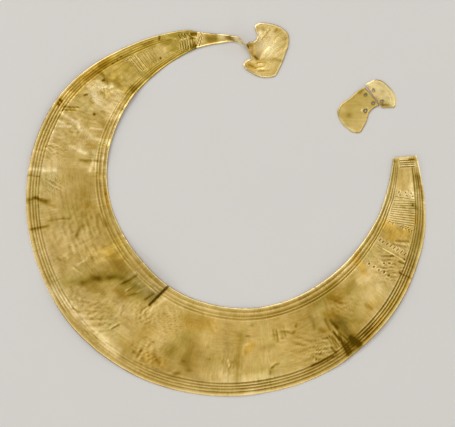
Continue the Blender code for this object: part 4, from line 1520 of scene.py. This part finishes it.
    def crumpled(self) -> Grid:
        """The height of the crumpled patches at the crescent's vertices.

        Returns:
            Heights in millimetres.
        """
        bearing = self.crescent.leaned(self.rows[:, None], self.columns)
        x, y = self.crescent.place(bearing, self.columns)
        u, v = bearing * self.strip_pitch, self.columns * self.crescent.width(bearing)
        total = np.zeros_like(x)
        for middle, reach, length, height, lean, spread, seed in CRESCENT_CRUMPLES:
            ((middle_x, middle_y),) = self.crescent.path((middle,))
            near = bell(np.hypot(x - middle_x, y - middle_y), reach)
            total += waves(u, v, length, lean, spread, seed) * near * height
        return total

    def build(self) -> bpy.types.Object:
        """Builds, engraves and dresses the sheet.

        Returns:
            The finished piece.
        """
        rows, across = self.rows, self.columns
        tear_row = int(np.argmin(np.abs(rows - self.crescent.tear_bearing)))
        tear_column, tear_end = self.tear_end_column(across[tear_row])
        self.crescent = CrescentPlan(tear_end=tear_end)
        even = np.linspace(0, 1, across.shape[1])
        first, second = (np.linspace(start, end, steps + 1) for start, end, steps in self.neck_rows)
        neck_share = np.concatenate([first[:-1], second[1:]])
        melt = ease(neck_share / self.neck_melt)[:, None]
        neck_across = across[-1] * (1 - melt) + even * melt
        neck = self.neck.neck(neck_share, neck_across)
        terminal_share = np.linspace(0, 1, self.terminal_rows + 1)[1:]
        terminal_across = np.tile(even, (self.terminal_rows, 1))
        terminal = self.neck.terminal(terminal_share, terminal_across)
        beyond = np.concatenate([neck, terminal])
        full_across = np.concatenate([across, neck_across, terminal_across])
        strip = self.strip_places(beyond, full_across)
        beyond = self.worked_beyond(beyond, strip[len(rows) :])
        sides = [np.concatenate([self.crescent_points(side), beyond]) for side in (-1, 1)]
        shell = Shell(sides, tear_row, tear_column, self.turn_row(len(rows), neck_share))
        edge = self.edge_distance(full_across, sides[0])
        mesh = shell.mesh(self, edge)
        self.store_marks(mesh, shell, edge, strip)
        piece = new_piece(self.name, mesh)
        material = self.finish.material()
        Engraver(material).engrave(piece, self.crescent, self.strip_pitch)
        for name in list(piece.data.attributes.keys()):
            if name in ("facing", "decorated") or name.split("_")[0] in (edge.value for edge in Edge):
                piece.data.attributes.remove(piece.data.attributes[name])
        return self.put(piece)

    def tear_end_column(self, across: Grid) -> tuple[int, float]:
        """The even column where the tear ends, and how far across that is."""
        column = 2 * int(np.argmin(np.abs(across[::2] - CrescentPlan().tear_end)))
        return column, float(across[column])

    def turn_row(self, first: int, neck_share: Grid) -> int:
        """The even row where the strip stands on edge, between its decorated face and its back."""
        return 2 * ((first + int(np.argmin(np.abs(neck_share - self.neck_turn)))) // 2)

    def strip_places(self, beyond: Grid, full_across: Grid) -> Grid:
        """Places along and across the strip, for what follows it.

        Args:
            beyond: the neck's and the terminal's points.
            full_across: how far across all vertices are.

        Returns:
            A place for each vertex, with 0 as its third part.
        """
        rows, columns = self.rows, self.columns
        u = rows[:, None] * self.strip_pitch * np.ones_like(columns)
        v = columns * self.crescent.width(rows)[:, None]
        middle = beyond[:, beyond.shape[1] // 2]
        steps = np.linalg.norm(np.diff(middle, axis=0), axis=1)
        run = self.neck_gap + np.concatenate([[0.0], np.cumsum(steps)]) + rows[-1] * self.strip_pitch
        width = np.linalg.norm(np.diff(beyond, axis=1), axis=2).sum(axis=1)
        u = np.concatenate([u, run[:, None] * np.ones((len(run), columns.shape[1]))])
        v = np.concatenate([v, full_across[len(rows) :] * width[:, None]])
        return np.stack([u, v, np.zeros_like(u)], axis=-1)

    def worked_beyond(self, points: Grid, strip: Grid) -> Grid:
        """Adds the terminal's creases and the beaten unevenness to the neck and the terminal.

        Args:
            points: their points.
            strip: their places along and across the strip.

        Returns:
            The raised points.
        """
        paths = [(trace, list(trace.path)) for trace in self.terminal_traces]
        height = self.relief(points[..., 0], points[..., 1], strip[..., 0], strip[..., 1], paths)
        fade = np.clip(np.arange(len(points)) / len(points) * 2.0, self.neck_beaten, 1.0)[:, None]
        raised = points.copy()
        raised[..., 2] = np.maximum(0.0, points[..., 2] + self.loose + height * fade)
        return raised

    def edge_distance(self, across: Grid, points: Grid) -> Grid:
        """How far each vertex is from the sheet's nearest edge.

        Args:
            across: how far across each vertex is.
            points: the middle surface.

        Returns:
            Distances in millimetres.
        """
        width = np.linalg.norm(np.diff(points, axis=1), axis=2).sum(axis=1)[:, None]
        distance = np.minimum(across, 1 - across) * width
        first = len(points) - self.terminal_rows
        plate = points[first:, :, :2]
        outline = np.concatenate([plate[:, 0], plate[-1], plate[::-1, -1]])
        distance[first:] = nearest_on_path(plate[..., 0], plate[..., 1], outline)[0]
        return distance

    def torn_edge_shade(self) -> Grid:
        """How dark the painted shade along the tear is at each vertex of the crescent.

        Returns:
            Darkness from 0 to 1.
        """
        plan = self.crescent
        beside = (self.rows[:, None] - plan.tear_bearing) * self.strip_pitch
        past = np.maximum(0.0, self.columns - plan.tear_end) * plan.width(self.rows)[:, None]
        return bell(np.hypot(beside, past), self.tear_shade)

    def store_marks(self, mesh: bpy.types.Mesh, shell: "Shell", edge: Grid, strip: Grid) -> None:
        """Stores what the engraver and the finish read.

        Args:
            mesh: the sheet's mesh.
            shell: the shell it was made from.
            edge: how far each vertex is from the sheet's nearest edge.
            strip: places along and across the strip.
        """
        store(mesh, "strip", shell.spread(strip, strip))
        store(mesh, "facing", shell.facing())
        shown = np.ones(edge.shape)
        shown[shell.turn_row :] = 0
        store(mesh, "decorated", shell.spread(shown, np.zeros_like(shown)))
        # Painted shade along the tear, stored with the cuts.
        dark = np.zeros(edge.shape)
        dark[: len(self.rows)] = self.torn_edge_shade()
        store(mesh, "cuts_and_painted_light", shell.spread(dark, dark))
        for band in (INNER_BAND, OUTER_BAND):
            for name, values in self.border(band, edge.shape).items():
                store(mesh, band.attribute(name), shell.spread(values, values))
        for name, values in self.tones(shell.sides[0], edge).items():
            back = values * self.back_tone
            back[shell.turn_row :] = values[shell.turn_row :]
            store(mesh, name, shell.spread(values, back))

    def border(self, band: BorderBand, shape: tuple[int, int]) -> dict[str, Grid]:
        """Where vertices are among the lines along an edge.

        Args:
            band: the lines.
            shape: how many rows and columns the whole sheet has.

        Returns:
            How many lines a vertex is from the edge, their pitch there and how much of them is left.
        """
        rows = self.rows
        lines = band.at(rows)
        across = self.columns if band.edge is Edge.INNER else 1 - self.columns
        distance = across * self.crescent.width(rows)[:, None]
        stops = np.concatenate([np.zeros((len(rows), 1)), lines, lines[:, -1:] + self.far], axis=1)
        place, pitch, left = np.full(shape, self.nowhere), np.ones(shape), np.zeros(shape)
        for i in range(len(rows)):
            last = band.lines + self.far / (lines[i, -1] - lines[i, -2])
            place[i] = np.interp(distance[i], stops[i], np.append(np.arange(band.lines + 1), last))
            gap = np.diff(np.append(stops[i, :-1], 2 * lines[i, -1] - lines[i, -2]))
            pitch[i] = gap[np.clip(place[i].astype(int), 0, len(gap) - 1)]
        left[: len(rows)] = band.depth(rows)[:, None]
        return {"place": place, "pitch": pitch, "left": left}


@dataclass
class Shell:
    """A grid of points made into a closed sheet that is fine where it shows and coarse where it doesn't."""

    sides: list[Grid]  # the middle surface as it is before the tear and beyond it
    tear_row: int
    tear_column: int
    turn_row: int
    overlap: int = 12

    def __post_init__(self) -> None:
        """Works out the shape of the grid."""
        self.rows, self.columns = self.sides[0].shape[:2]
        self.count = self.rows * self.columns

    def merged(self, before: Grid, beyond: Grid) -> Grid:
        """One grid from two: the first as far as the tear's row, and the second after it."""
        return np.concatenate([before[: self.tear_row + 1], beyond[self.tear_row + 1 :]])

    def spread(self, front: Grid, back: Grid) -> Grid:
        """Values for all vertices from values on the grid: front, back, then the tear's far lip on each.

        Args:
            front: values of the front.
            back: values of the back.

        Returns:
            A value for each vertex that is kept.
        """
        lip = [grid[self.tear_row, : self.tear_column] for grid in (front, back)]
        flat = [grid.reshape(self.count, *grid.shape[2:]) for grid in (front, back)]
        return np.concatenate([*flat, *lip])[self.kept]

    def normals(self, points: Grid) -> Grid:
        """The directions in which a grid of points faces."""
        crossed = np.cross(np.gradient(points, axis=0), np.gradient(points, axis=1))
        return crossed / np.maximum(np.linalg.norm(crossed, axis=-1, keepdims=True), 1e-9)

    def facing(self) -> Grid:
        """The direction in which the decorated face looks at each vertex.

        Returns:
            Unit vectors.
        """
        before, beyond = (self.normals(side) for side in self.sides)
        merged = self.merged(before, beyond)
        lip = beyond[self.tear_row, : self.tear_column]
        flat = merged.reshape(self.count, 3)
        return np.concatenate([flat, flat, lip, lip])[self.kept]

    def used(self, face: int) -> Grid:
        """Which vertices of a face are needed: all of them in fine rows, and every second one elsewhere.

        Args:
            face: 0 for the front and 1 for the back.

        Returns:
            True where a vertex is needed.
        """
        bands = np.arange(self.rows // 2) * 2
        fine = bands < self.turn_row + self.overlap if face == 0 else bands >= self.turn_row - self.overlap
        self.fine[face] = fine
        needed = np.zeros((self.rows, self.columns), bool)
        needed[::2, ::2] = True
        for band in np.flatnonzero(fine):
            needed[2 * band : 2 * band + 3] = True
        return needed

    def mesh(self, sheet: BeatenSheet, edge: Grid) -> bpy.types.Mesh:
        """Makes the closed mesh.

        Args:
            sheet: the sheet, for its thickness and its rim.
            edge: how far each vertex of the grid is from the edge.

        Returns:
            The mesh.
        """
        self.fine = {}
        self.needed = [self.used(0), self.used(1)]
        bead = sheet.bead_height * sheet.bead(edge) - sheet.rounding(edge)
        round_off = -sheet.edge_round * bell(edge, sheet.back_reach)
        places = []
        for points in self.sides:
            normal = self.normals(points)
            raised = np.ones(self.rows)[:, None]
            raised[self.turn_row :] = 0
            front = sheet.thickness / 2 + bead * raised + round_off * (1 - raised)
            back = sheet.thickness / 2 + bead * (1 - raised) + round_off * raised
            lifted = points + np.array([0, 0, sheet.thickness / 2])
            places.append((lifted + normal * front[..., None], lifted - normal * back[..., None]))
        flat = []
        for before, beyond in zip(*places):
            both = self.merged(before, beyond)
            both[..., 2] = np.maximum(both[..., 2], 0.0)
            flat.append(both.reshape(self.count, 3))
        lips = [beyond[self.tear_row, : self.tear_column] for beyond in places[1]]
        every = np.concatenate([*flat, *lips])
        faces = self.faces()
        self.kept = np.unique(np.concatenate([np.array(face) for face in faces]))
        renumber = np.full(len(every), -1)
        renumber[self.kept] = np.arange(len(self.kept))
        mesh = bpy.data.meshes.new(sheet.name)
        faces = [renumber[list(face)].tolist() for face in faces]
        mesh.from_pydata((every[self.kept] * MM).tolist(), [], faces)
        mesh.validate()
        return mesh

    def vertex(self, face: int, row: int, column: int, beyond: bool) -> int:
        """The number of a vertex.

        Args:
            face: 0 for the front and 1 for the back.
            row: its row.
            column: its column.
            beyond: whether it belongs to a face beyond the tear.

        Returns:
            Its number before unneeded ones are left out.
        """
        if beyond and row == self.tear_row and column < self.tear_column:
            return 2 * self.count + face * self.tear_column + column
        return face * self.count + row * self.columns + column

    def faces(self) -> list[list[int]]:
        """All faces of the shell.

        Returns:
            Each face's vertices.
        """
        found = []
        last_row, last_column = self.rows - 1, self.columns - 1
        for row in range(0, last_row, 2):
            beyond = row >= self.tear_row
            for face in (0, 1):
                for column in range(0, last_column, 2):
                    found += self.block(face, row, column, beyond)
            found.append(self.rim([(row + i, 0) for i in range(3)], beyond)[::-1])
            found.append(self.rim([(row + i, last_column) for i in range(3)], beyond))
        for column in range(0, last_column, 2):
            found.append(self.rim([(0, column + i) for i in range(3)], False))
            found.append(self.rim([(last_row, column + i) for i in range(3)], True)[::-1])
        for column in range(0, self.tear_column, 2):
            path = [(self.tear_row, column + i) for i in range(3)]
            found.append(self.rim(path, False)[::-1])
            found.append(self.rim(path, True))
        return found

    def block(self, face: int, row: int, column: int, beyond: bool) -> list[list[int]]:
        """Two by two cells of a face, as four faces where it is fine and as one where it is coarse.

        Args:
            face: 0 for the front and 1 for the back.
            row: the first row.
            column: the first column.
            beyond: whether the cells are beyond the tear.

        Returns:
            Each face's vertices.
        """
        if self.fine[face][row // 2]:
            corners = [(row + i, column + j) for i in (0, 1) for j in (0, 1)]
            loops = [[(r, c), (r + 1, c), (r + 1, c + 1), (r, c + 1)] for r, c in corners]
        else:
            ring = ((0, 0), (1, 0), (2, 0), (2, 1), (2, 2), (1, 2), (0, 2), (0, 1))
            places = [(row + i, column + j) for i, j in ring]
            loops = [[place for place in places if self.needed[face][place]]]
        made = [[self.vertex(face, r, c, beyond) for r, c in loop] for loop in loops]
        return [loop[::-1] for loop in made] if face else made

    def rim(self, path: list[Place], beyond: bool) -> list[int]:
        """One face of the rim, between the two faces of the sheet.

        Args:
            path: rows and columns along the rim.
            beyond: whether it is beyond the tear.

        Returns:
            The face's vertices.
        """
        front = [self.vertex(0, r, c, beyond) for r, c in path if self.needed[0][r, c]]
        back = [self.vertex(1, r, c, beyond) for r, c in path if self.needed[1][r, c]]
        return [*front, *back[::-1]]


# A row is a path's x and y, in turn, then the half width and the height or strength.
TERMINAL_TRACES = (
    *marks(
        CREASE,
        (8.3, 73, 10.4, 75.4, 12.7, 78.4, 0.55, 0.5), (9.4, 73.6, 12.4, 74.4, 0.5, 0.35),
        (2.8, 65.4, 5, 62.4, 0.7, 0.3), (5.4, 60, 10, 60.4, 0.5, 0.4),
        (4.6, 57.4, 8, 57.9, 10, 57.2, 0.5, 0.4), (6.4, 55.3, 12, 55.9, 0.5, 0.35),
        (8.6, 79.6, 11.4, 76.6, 0.5, 0.25), (4.2, 56.8, 9, 55.6, 0.5, 0.3),
    ),
    *marks(
        RIDGE,
        (7.6, 73.6, 9.6, 75.8, 11.8, 78.4, 0.6, 0.4), (1.6, 60.7, 4.9, 60.3, 0.55, 0.35),
        (5.6, 58.6, 8.6, 59.2, 0.5, 0.35),
    ),
    *marks(
        STAIN,
        (2.4, 69, 3.6, 65, 2, 0.3), (1.2, 58.9, 3.4, 57.8, 1.2, 1), (13.6, 56.6, 1.3, 0.7),
        (5, 60.2, 11, 59.4, 1.6, 0.5),
    ),
    *marks(OLIVE, (-21, 73, -16.5, 73.5, 2.6, 1.2)),
    *marks(
        TARNISH_AND_SHADE,
        (-20.5, 73, -17.2, 73.6, 2, 0.7), (-11.2, 73.9, -9, 73, 1.4, 0.7), (5.8, 73, 0.6, 0.8),
        (16.4, 78.4, 15.6, 77.2, 0.7, 0.6), (20, 73.2, 1.2, 0.35), (1.2, 71.2, 2.2, 70, 1.5, 0.6),
        (4.6, 63.4, 5.6, 62.2, 0.8, 0.9), (1.2, 58.9, 3.2, 58, 0.9, 0.6),
        (14.2, 61.4, 18.2, 61.2, 1.1, 0.55), (6.2, 61.8, 12, 61.8, 1, 0.3),
    ),
    *marks(
        WEAR_AND_HIGHLIGHT,
        (-14.2, 74, -13.2, 74.3, 1.5, 1.9), (-7.6, 73, -3, 70.6, -0.4, 68.4, 1.1, 1.6),
        (12, 75, 13, 67, 10, 58, 7.5, 0.7), (9.8, 68.6, 13, 67.8, 4.2, 0.75), (6.8, 76.6, 7.6, 75.4, 1.2, 1),
    ),
)


@dataclass(frozen=True)
class Hole:
    """A lacing hole: its middle and radius, how it is out of round, and the burr round it."""

    middle: Place
    radius: float
    stretch: float = 0.06
    corner: float = 0.0
    turn: float = 0.0
    burr: float = 0.14
    burr_reach: float = 0.3
    burr_side: float = 150.0
    burr_even: float = 0.65  # how much of the burr goes all the way round

    def rim(self, angle: Grid) -> Grid:
        """The hole's radius in a direction."""
        turned = angle - math.radians(self.turn)
        return self.radius * (1 + self.stretch * np.cos(2 * turned) + self.corner * np.cos(3 * turned))

    def measured(self, x: Grid, y: Grid) -> tuple[Grid, Grid]:
        """How far places are outside the hole, and in which direction."""
        angle = np.arctan2(y - self.middle[1], x - self.middle[0])
        return np.hypot(x - self.middle[0], y - self.middle[1]) - self.rim(angle), angle

    def ring(self, count: int = 26) -> list[Place]:
        """Places round the hole.

        Args:
            count: how many.

        Returns:
            The places.
        """
        angle = np.linspace(0, 2 * math.pi, count, endpoint=False)
        radius = self.rim(angle)
        x, y = self.middle[0] + radius * np.cos(angle), self.middle[1] + radius * np.sin(angle)
        return list(zip(x.tolist(), y.tolist()))

    def burr_height(self, x: Grid, y: Grid) -> Grid:
        """How far the burr lifts places near the hole.

        Args:
            x: plan positions.
            y: the second part of those.

        Returns:
            Heights in millimetres.
        """
        out, angle = self.measured(x, y)
        side = self.burr_even + (1 - self.burr_even) * np.cos(angle - math.radians(self.burr_side))
        return self.burr * side**2 * np.exp(-np.maximum(out, 0) / self.burr_reach)


@dataclass(kw_only=True)
class TerminalPlate(GoldPiece):
    """One of the two plates of the broken-off terminal. Its far edge rests, and its break stands up."""

    break_line: Path
    round_side: Path
    holes: tuple[Hole, ...]
    traces: tuple[Trace, ...]
    seed: int
    slot: str = "terminal_gold"
    finish: GoldFinish = TERMINAL_GOLD
    bead_height: float = 0.10
    bead_place: float = 0.5
    bead_width: float = 0.32
    break_lift: float = 0.55
    break_ragged: float = 0.10
    break_curl: float = 0.08
    curl_reach: float = 0.7
    curl_even: float = 0.7  # how much of the curl goes all along the break
    curl_waves: tuple = ((0.5, 9, 1), (0.3, 23, 0))  # height, how often, and whether the seed shifts it
    spacing: float = 0.26
    edge_clear: float = 0.6  # how many spacings inner vertices keep from the edge
    hole_clear: float = 0.5  # and from the holes
    faint_lines: tuple[float, ...] = (2.1, 3.4)  # distances from the round edge of two worn lines
    faint_depth: float = 0.02
    faint_width: float = 0.35
    # Painted shade round the holes and along the break, and how far it reaches.
    hole_shade: float = 1.0
    hole_shade_reach: float = 0.4
    break_shade: float = 0.7
    break_shade_reach: float = 0.25
    beaten: tuple = ((12.0, 0.03), (4.0, 0.006))  # wave length and height

    def outline(self) -> tuple[Grid, Grid]:
        """The broken edge and the round edge, each as a line of places.

        Returns:
            The two lines, the broken edge first.
        """
        dice = np.random.default_rng(self.seed)
        length = math.dist(self.break_line[0], self.break_line[-1])
        broken = along_line(self.break_line, np.linspace(0, 1, round(length / self.spacing)))
        stray = dice.normal(0, self.break_ragged, len(broken))
        stray[[0, -1]] = 0
        across = np.array(self.break_line[-1]) - np.array(self.break_line[0])
        broken = broken + stray[:, None] * np.array([across[1], -across[0]]) / length
        corners = [self.break_line[-1], *self.round_side, self.break_line[0]]
        run = sum(math.dist(a, b) for a, b in zip(corners[:-1], corners[1:]))
        return broken, along_line(corners, np.linspace(0, 1, round(run / self.spacing)))

    def inside(self, x: Grid, y: Grid, loop: Grid) -> Grid:
        """Which places are inside a closed loop.

        Args:
            x: plan positions.
            y: the second part of those.
            loop: the loop's corners.

        Returns:
            True inside it.
        """
        within = np.zeros(x.shape, bool)
        for (ax, ay), (bx, by) in zip(loop, np.roll(loop, -1, axis=0)):
            crosses = (ay > y) != (by > y)
            within ^= crosses & (x < (bx - ax) * (y - ay) / (by - ay + 1e-12) + ax)
        return within

    def flat(self, broken: Grid, rounded: Grid) -> tuple[Grid, Grid]:
        """The plate's flat triangles, with its holes open.

        Args:
            broken: places along the broken edge.
            rounded: places along the round edge.

        Returns:
            The vertices' plan positions, and the triangles.
        """
        loop = np.concatenate([broken, rounded[1:-1]])
        low, high = loop.min(axis=0), loop.max(axis=0)
        rise = self.spacing * math.sqrt(3) / 2
        every_x, every_y = np.arange(low[0], high[0], self.spacing), np.arange(low[1], high[1], rise)
        y, x = np.meshgrid(every_y, every_x, indexing="ij")
        x = x + (np.arange(len(x)) % 2)[:, None] * self.spacing / 2
        x, y = x.ravel(), y.ravel()
        keep = self.inside(x, y, loop)
        keep &= nearest_on_path(x, y, [*loop, loop[0]])[0] > self.edge_clear * self.spacing
        for hole in self.holes:
            keep &= hole.measured(x, y)[0] > self.hole_clear * self.spacing
        rings = [loop.tolist(), *(hole.ring() for hole in self.holes)]
        edges = []
        places = []
        for ring in rings:
            first = len(places)
            places += [Vector(place) for place in ring]
            edges += [(first + i, first + (i + 1) % len(ring)) for i in range(len(ring))]
        places += [Vector(place) for place in zip(x[keep].tolist(), y[keep].tolist())]
        vertices, _, triangles, *_ = delaunay_2d_cdt(places, edges, [], 1, 1e-5)
        vertices, triangles = np.array([tuple(v) for v in vertices]), np.array(triangles)
        middle = vertices[triangles].mean(axis=1)
        solid = np.ones(len(triangles), bool)
        for hole in self.holes:
            solid &= hole.measured(middle[:, 0], middle[:, 1])[0] > 0
        return vertices, triangles[solid]

    def heights(self, x: Grid, y: Grid, broken: Grid, rounded: Grid) -> tuple[Grid, Grid]:
        """The upper and the lower face's heights above the surface underneath.

        Args:
            x: plan positions.
            y: the second part of those.
            broken: places along the broken edge.
            rounded: places along the round edge.

        Returns:
            The upper face's heights, then the lower one's.
        """
        start, end = np.array(self.break_line[0]), np.array(self.break_line[-1])
        along = (end - start) / np.linalg.norm(end - start)
        reach = (x - start[0]) * along[1] - (y - start[1]) * along[0]
        middle = self.break_lift * (1 - reach / reach.max())
        for trace in self.traces:
            if trace.work in FOLDS:
                middle = middle + trace.strength(x, y, trace.path)
        for number, (length, height) in enumerate(self.beaten):
            middle = middle + waves(x, y, length, 0.0, 90.0, self.seed + number) * height
        from_break, share = nearest_on_path(x, y, broken)
        uneven = sum(high * np.sin(share * often + on * self.seed) for high, often, on in self.curl_waves)
        curl = self.break_curl * (self.curl_even + uneven)
        middle = middle + curl * bell(from_break, self.curl_reach)
        for hole in self.holes:
            middle = middle + hole.burr_height(x, y)
        from_round = nearest_on_path(x, y, rounded)[0]
        bead = self.bead_height * self.bead(from_round)
        for line in self.faint_lines:
            bead = bead - self.faint_depth * bell(from_round - line, self.faint_width)
        rounded_off = self.rounding(np.minimum(from_round, from_break))
        middle = np.maximum(middle, 0.0) + self.thickness / 2
        upper = middle + self.thickness / 2 + bead - rounded_off
        return upper, np.maximum(middle - self.thickness / 2 + rounded_off, 0.0)

    def build(self) -> bpy.types.Object:
        """Builds and dresses the plate.

        Returns:
            The finished piece.
        """
        broken, rounded = self.outline()
        places, triangles = self.flat(broken, rounded)
        x, y = places[:, 0], places[:, 1]
        upper, lower = self.heights(x, y, broken, rounded)
        count = len(places)
        vertices = [np.column_stack([x, y, height]) for height in (upper, lower)]
        directed = {(a, b) for a, b, c in triangles.tolist() for a, b in ((a, b), (b, c), (c, a))}
        rim = [[b, a, a + count, b + count] for a, b in directed if (b, a) not in directed]
        faces = [*triangles.tolist(), *(triangles[:, ::-1] + count).tolist(), *sorted(rim)]
        mesh = bpy.data.meshes.new(self.name)
        mesh.from_pydata((np.concatenate(vertices) * MM).tolist(), [], faces)
        mesh.validate()
        # Painted shade along the break and round the holes.
        hole_and_break_shade = self.break_shade * bell(nearest_on_path(x, y, broken)[0], self.break_shade_reach)
        for hole in self.holes:
            outside = np.maximum(hole.measured(x, y)[0], 0)
            hole_and_break_shade = np.maximum(hole_and_break_shade, self.hole_shade * bell(outside, self.hole_shade_reach))
        store(mesh, "cuts_and_painted_light", np.concatenate([hole_and_break_shade, hole_and_break_shade]))
        tones = {work: np.zeros(count) for work in TONES}
        for trace in self.traces:
            toned = trace.toned()
            tones[toned.work] += toned.strength(x, y, toned.path)
        for work, total in tones.items():
            store(mesh, work.value, np.concatenate([total, total * self.back_tone]))
        mesh.materials.append(self.finish.material())
        return self.put(new_piece(self.name, mesh))


LARGE_PLATE = TerminalPlate(
    name="large_terminal_plate",
    node="terminal_fragment_large",
    break_line=((64.7, 46.7), (69.1, 41.5), (72.7, 36.7)),
    round_side=(
        (69.1, 34.7), (67.1, 32.3), (66.2, 28.9), (64.1, 24.5), (62.1, 21.7), (59.1, 21.6), (54.9, 24.1),
        (51.1, 28.4), (49.8, 33.4), (51.9, 37.3), (56.3, 40.4), (60.7, 44.3),
    ),
    holes=(
        Hole((65.1, 42.5), 0.62),
        Hole((69.3, 37.9), 0.72, burr=0.2),
        Hole((65.0, 33.8), 0.82, corner=0.28, turn=40, burr=0.3, burr_side=170),
    ),
    traces=(
        *marks(CREASE, (66.9, 29.7, 65.9, 29.3, 0.5, 0.15)),
        *marks(RIDGE, (63.6, 32.2, 65.8, 30.6, 0.5, 0.06)),
        *marks(STAIN, (55.2, 36, 1.3, 0.4)),
        *marks(OLIVE, (56, 31, 63, 40, 8, 1.4)),
        *marks(
            TARNISH_AND_SHADE,
            (55, 30, 62, 40, 6, 0.18), (56, 31.2, 1.6, 0.4), (63.3, 45.3, 62, 43.8, 1.2, 0.5),
        ),
        *marks(
            WEAR_AND_HIGHLIGHT,
            (50.6, 29.8, 54.4, 24.8, 59, 22.3, 0.8, 1.2), (63.3, 34, 0.6, 1.6), (66.3, 34.9, 0.5, 1.2),
        ),
    ),
    seed=31,
)
SMALL_PLATE = TerminalPlate(
    name="small_terminal_plate",
    node="terminal_fragment_small",
    break_line=((73.2, 36.8), (69.6, 41.8), (65.0, 48.2)),
    round_side=(
        (67.9, 49.6), (70.5, 50.8), (73.7, 50.3), (77.9, 47.1), (81.1, 42.9), (82.2, 38.7), (81.1, 35.7),
        (77.3, 35.3), (74.0, 35.5),
    ),
    holes=(
        Hole((69.4, 44.9), 0.70, stretch=0.25, turn=-50, burr=0.16, burr_side=160),
        Hole((74.1, 38.9), 0.66, burr=0.2, burr_side=20),
    ),
    traces=(
        *marks(CREASE, (74.4, 37, 77.6, 36.9, 0.8, 0.12)),
        *marks(STAIN, (71.7, 48.2, 1.2, 0.4), (71.6, 42.2, 1, 0.3)),
        *marks(OLIVE, (70, 47, 79, 39, 7, 0.4)),
        *marks(TARNISH_AND_SHADE, (74.4, 37, 77.6, 36.9, 0.8, 0.8), (74.5, 44.2, 1.3, 0.3)),
        *marks(WEAR_AND_HIGHLIGHT, (66.2, 48.2, 1.2, 1), (70, 47.6, 78, 41, 6.5, 1.05), (80, 38.5, 1.6, 0.7)),
    ),
    seed=57,
    break_curl=0.10,
    break_lift=0.35,
)


# ---------------- studio


@dataclass(frozen=True)
class Softbox:
    """A square soft light that looks at the object. Angles are in degrees and lengths in metres."""

    name: str
    round_angle: float  # from the right of the view, anticlockwise
    down_angle: float  # from straight overhead
    side: float
    brightness: float  # watts from a square metre into one steradian
    distance: float = 2.6
    colour: tuple[float, float, float] = (1.0, 0.98, 0.95)

    def build(self, aim: Vector) -> bpy.types.Object:
        """Makes the light.

        Args:
            aim: the place it looks at.

        Returns:
            The light.
        """
        light = bpy.data.lights.new(self.name, "AREA")
        light.shape = "SQUARE"
        light.size = self.side
        light.energy = self.brightness * math.pi * self.side**2
        light.color = self.colour
        holder = bpy.data.objects.new(self.name, light)
        turned, down = math.radians(self.round_angle), math.radians(self.down_angle)
        outward = math.sin(down)
        towards = Vector((outward * math.cos(turned), outward * math.sin(turned), math.cos(down)))
        holder.location = aim + towards * self.distance
        holder.rotation_euler = towards.to_track_quat("Z", "Y").to_euler()
        bpy.context.scene.collection.objects.link(holder)
        return holder


@dataclass(frozen=True)
class Studio:
    """A plain pale floor, soft lights and a camera that looks straight down."""

    softboxes: tuple[Softbox, ...] = (
        Softbox("key_softbox", 118, 38, 1.7, 2.3),
        Softbox("top_softbox", -50, 6, 1.25, 0.60),
        Softbox("sky_softbox", 0, 0, 3.4, 0.28),
        Softbox("left_softbox", 190, 74, 1.6, 1.7),
        Softbox("right_softbox", 10, 74, 1.6, 1.7, colour=(0.97, 0.98, 1.0)),
        Softbox("near_softbox", 275, 72, 1.6, 1.2),
    )
    ambient: Colour = (0.31, 0.28, 0.235, 1.0)
    view_transform: str = "Standard"
    floor_side: float = 3.0
    aim_shift: Place = (0.91, -2.27)  # millimetres from the object's middle to the point looked at
    view_width: float = 250.25  # millimetres
    lens: float = 85.0
    film: float = 36.0

    def build_floor(self, level: float) -> bpy.types.Object:
        """Makes the floor, a single square with its material, at a level.

        Args:
            level: the level in metres.

        Returns:
            The floor.
        """
        half = self.floor_side / 2
        corners = [(x * half, y * half, level) for x, y in ((-1, -1), (1, -1), (1, 1), (-1, 1))]
        mesh = bpy.data.meshes.new("floor")
        mesh.from_pydata(corners, [], [(0, 1, 2, 3)])
        mesh.materials.append(GroundFinish().material())
        floor = new_piece("floor", mesh)
        floor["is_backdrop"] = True
        return floor

    def build_camera(self, low: Vector, high: Vector) -> bpy.types.Object:
        """Makes the camera.

        Args:
            low: the object's lowest corner.
            high: its highest corner.

        Returns:
            The camera, straight above the object.
        """
        camera = bpy.data.cameras.new("camera")
        camera.lens = self.lens
        camera.sensor_width = self.film
        holder = bpy.data.objects.new("camera", camera)
        middle = (low + high) / 2
        distance = self.view_width * self.lens / self.film * MM
        shift_x, shift_y = (shift * MM for shift in self.aim_shift)
        holder.location = (middle.x + shift_x, middle.y + shift_y, distance)
        bpy.context.scene.collection.objects.link(holder)
        bpy.context.scene.camera = holder
        return holder

    def build_light(self, aim: Vector) -> None:
        """Makes the softboxes and the even light round them.

        Args:
            aim: the place they look at.
        """
        for softbox in self.softboxes:
            softbox.build(aim)
        world = bpy.data.worlds.new("studio")
        world.use_nodes = True
        world.node_tree.nodes["Background"].inputs["Color"].default_value = self.ambient
        bpy.context.scene.world = world

    def build(self, low: Vector, high: Vector) -> None:
        """Makes the whole studio round an object's box.

        Args:
            low: its lowest corner.
            high: its highest corner.
        """
        self.build_floor(low.z)
        self.build_camera(low, high)
        self.build_light((low + high) / 2)
        bpy.context.scene.view_settings.view_transform = self.view_transform


def main() -> None:
    """Builds the gold, then the studio."""
    logging.basicConfig(level=logging.INFO, format="%(name)s: %(message)s")
    low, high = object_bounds()
    for maker in (BeatenSheet(terminal_traces=TERMINAL_TRACES), LARGE_PLATE, SMALL_PLATE):
        piece = maker.build()
        triangles = sum(len(face.vertices) - 2 for face in piece.data.polygons)
        LOG.info("%s stands for %s: %d triangles", piece.name, maker.node, triangles)
    Studio().build(low, high)


if __name__ == "__main__":
    main()
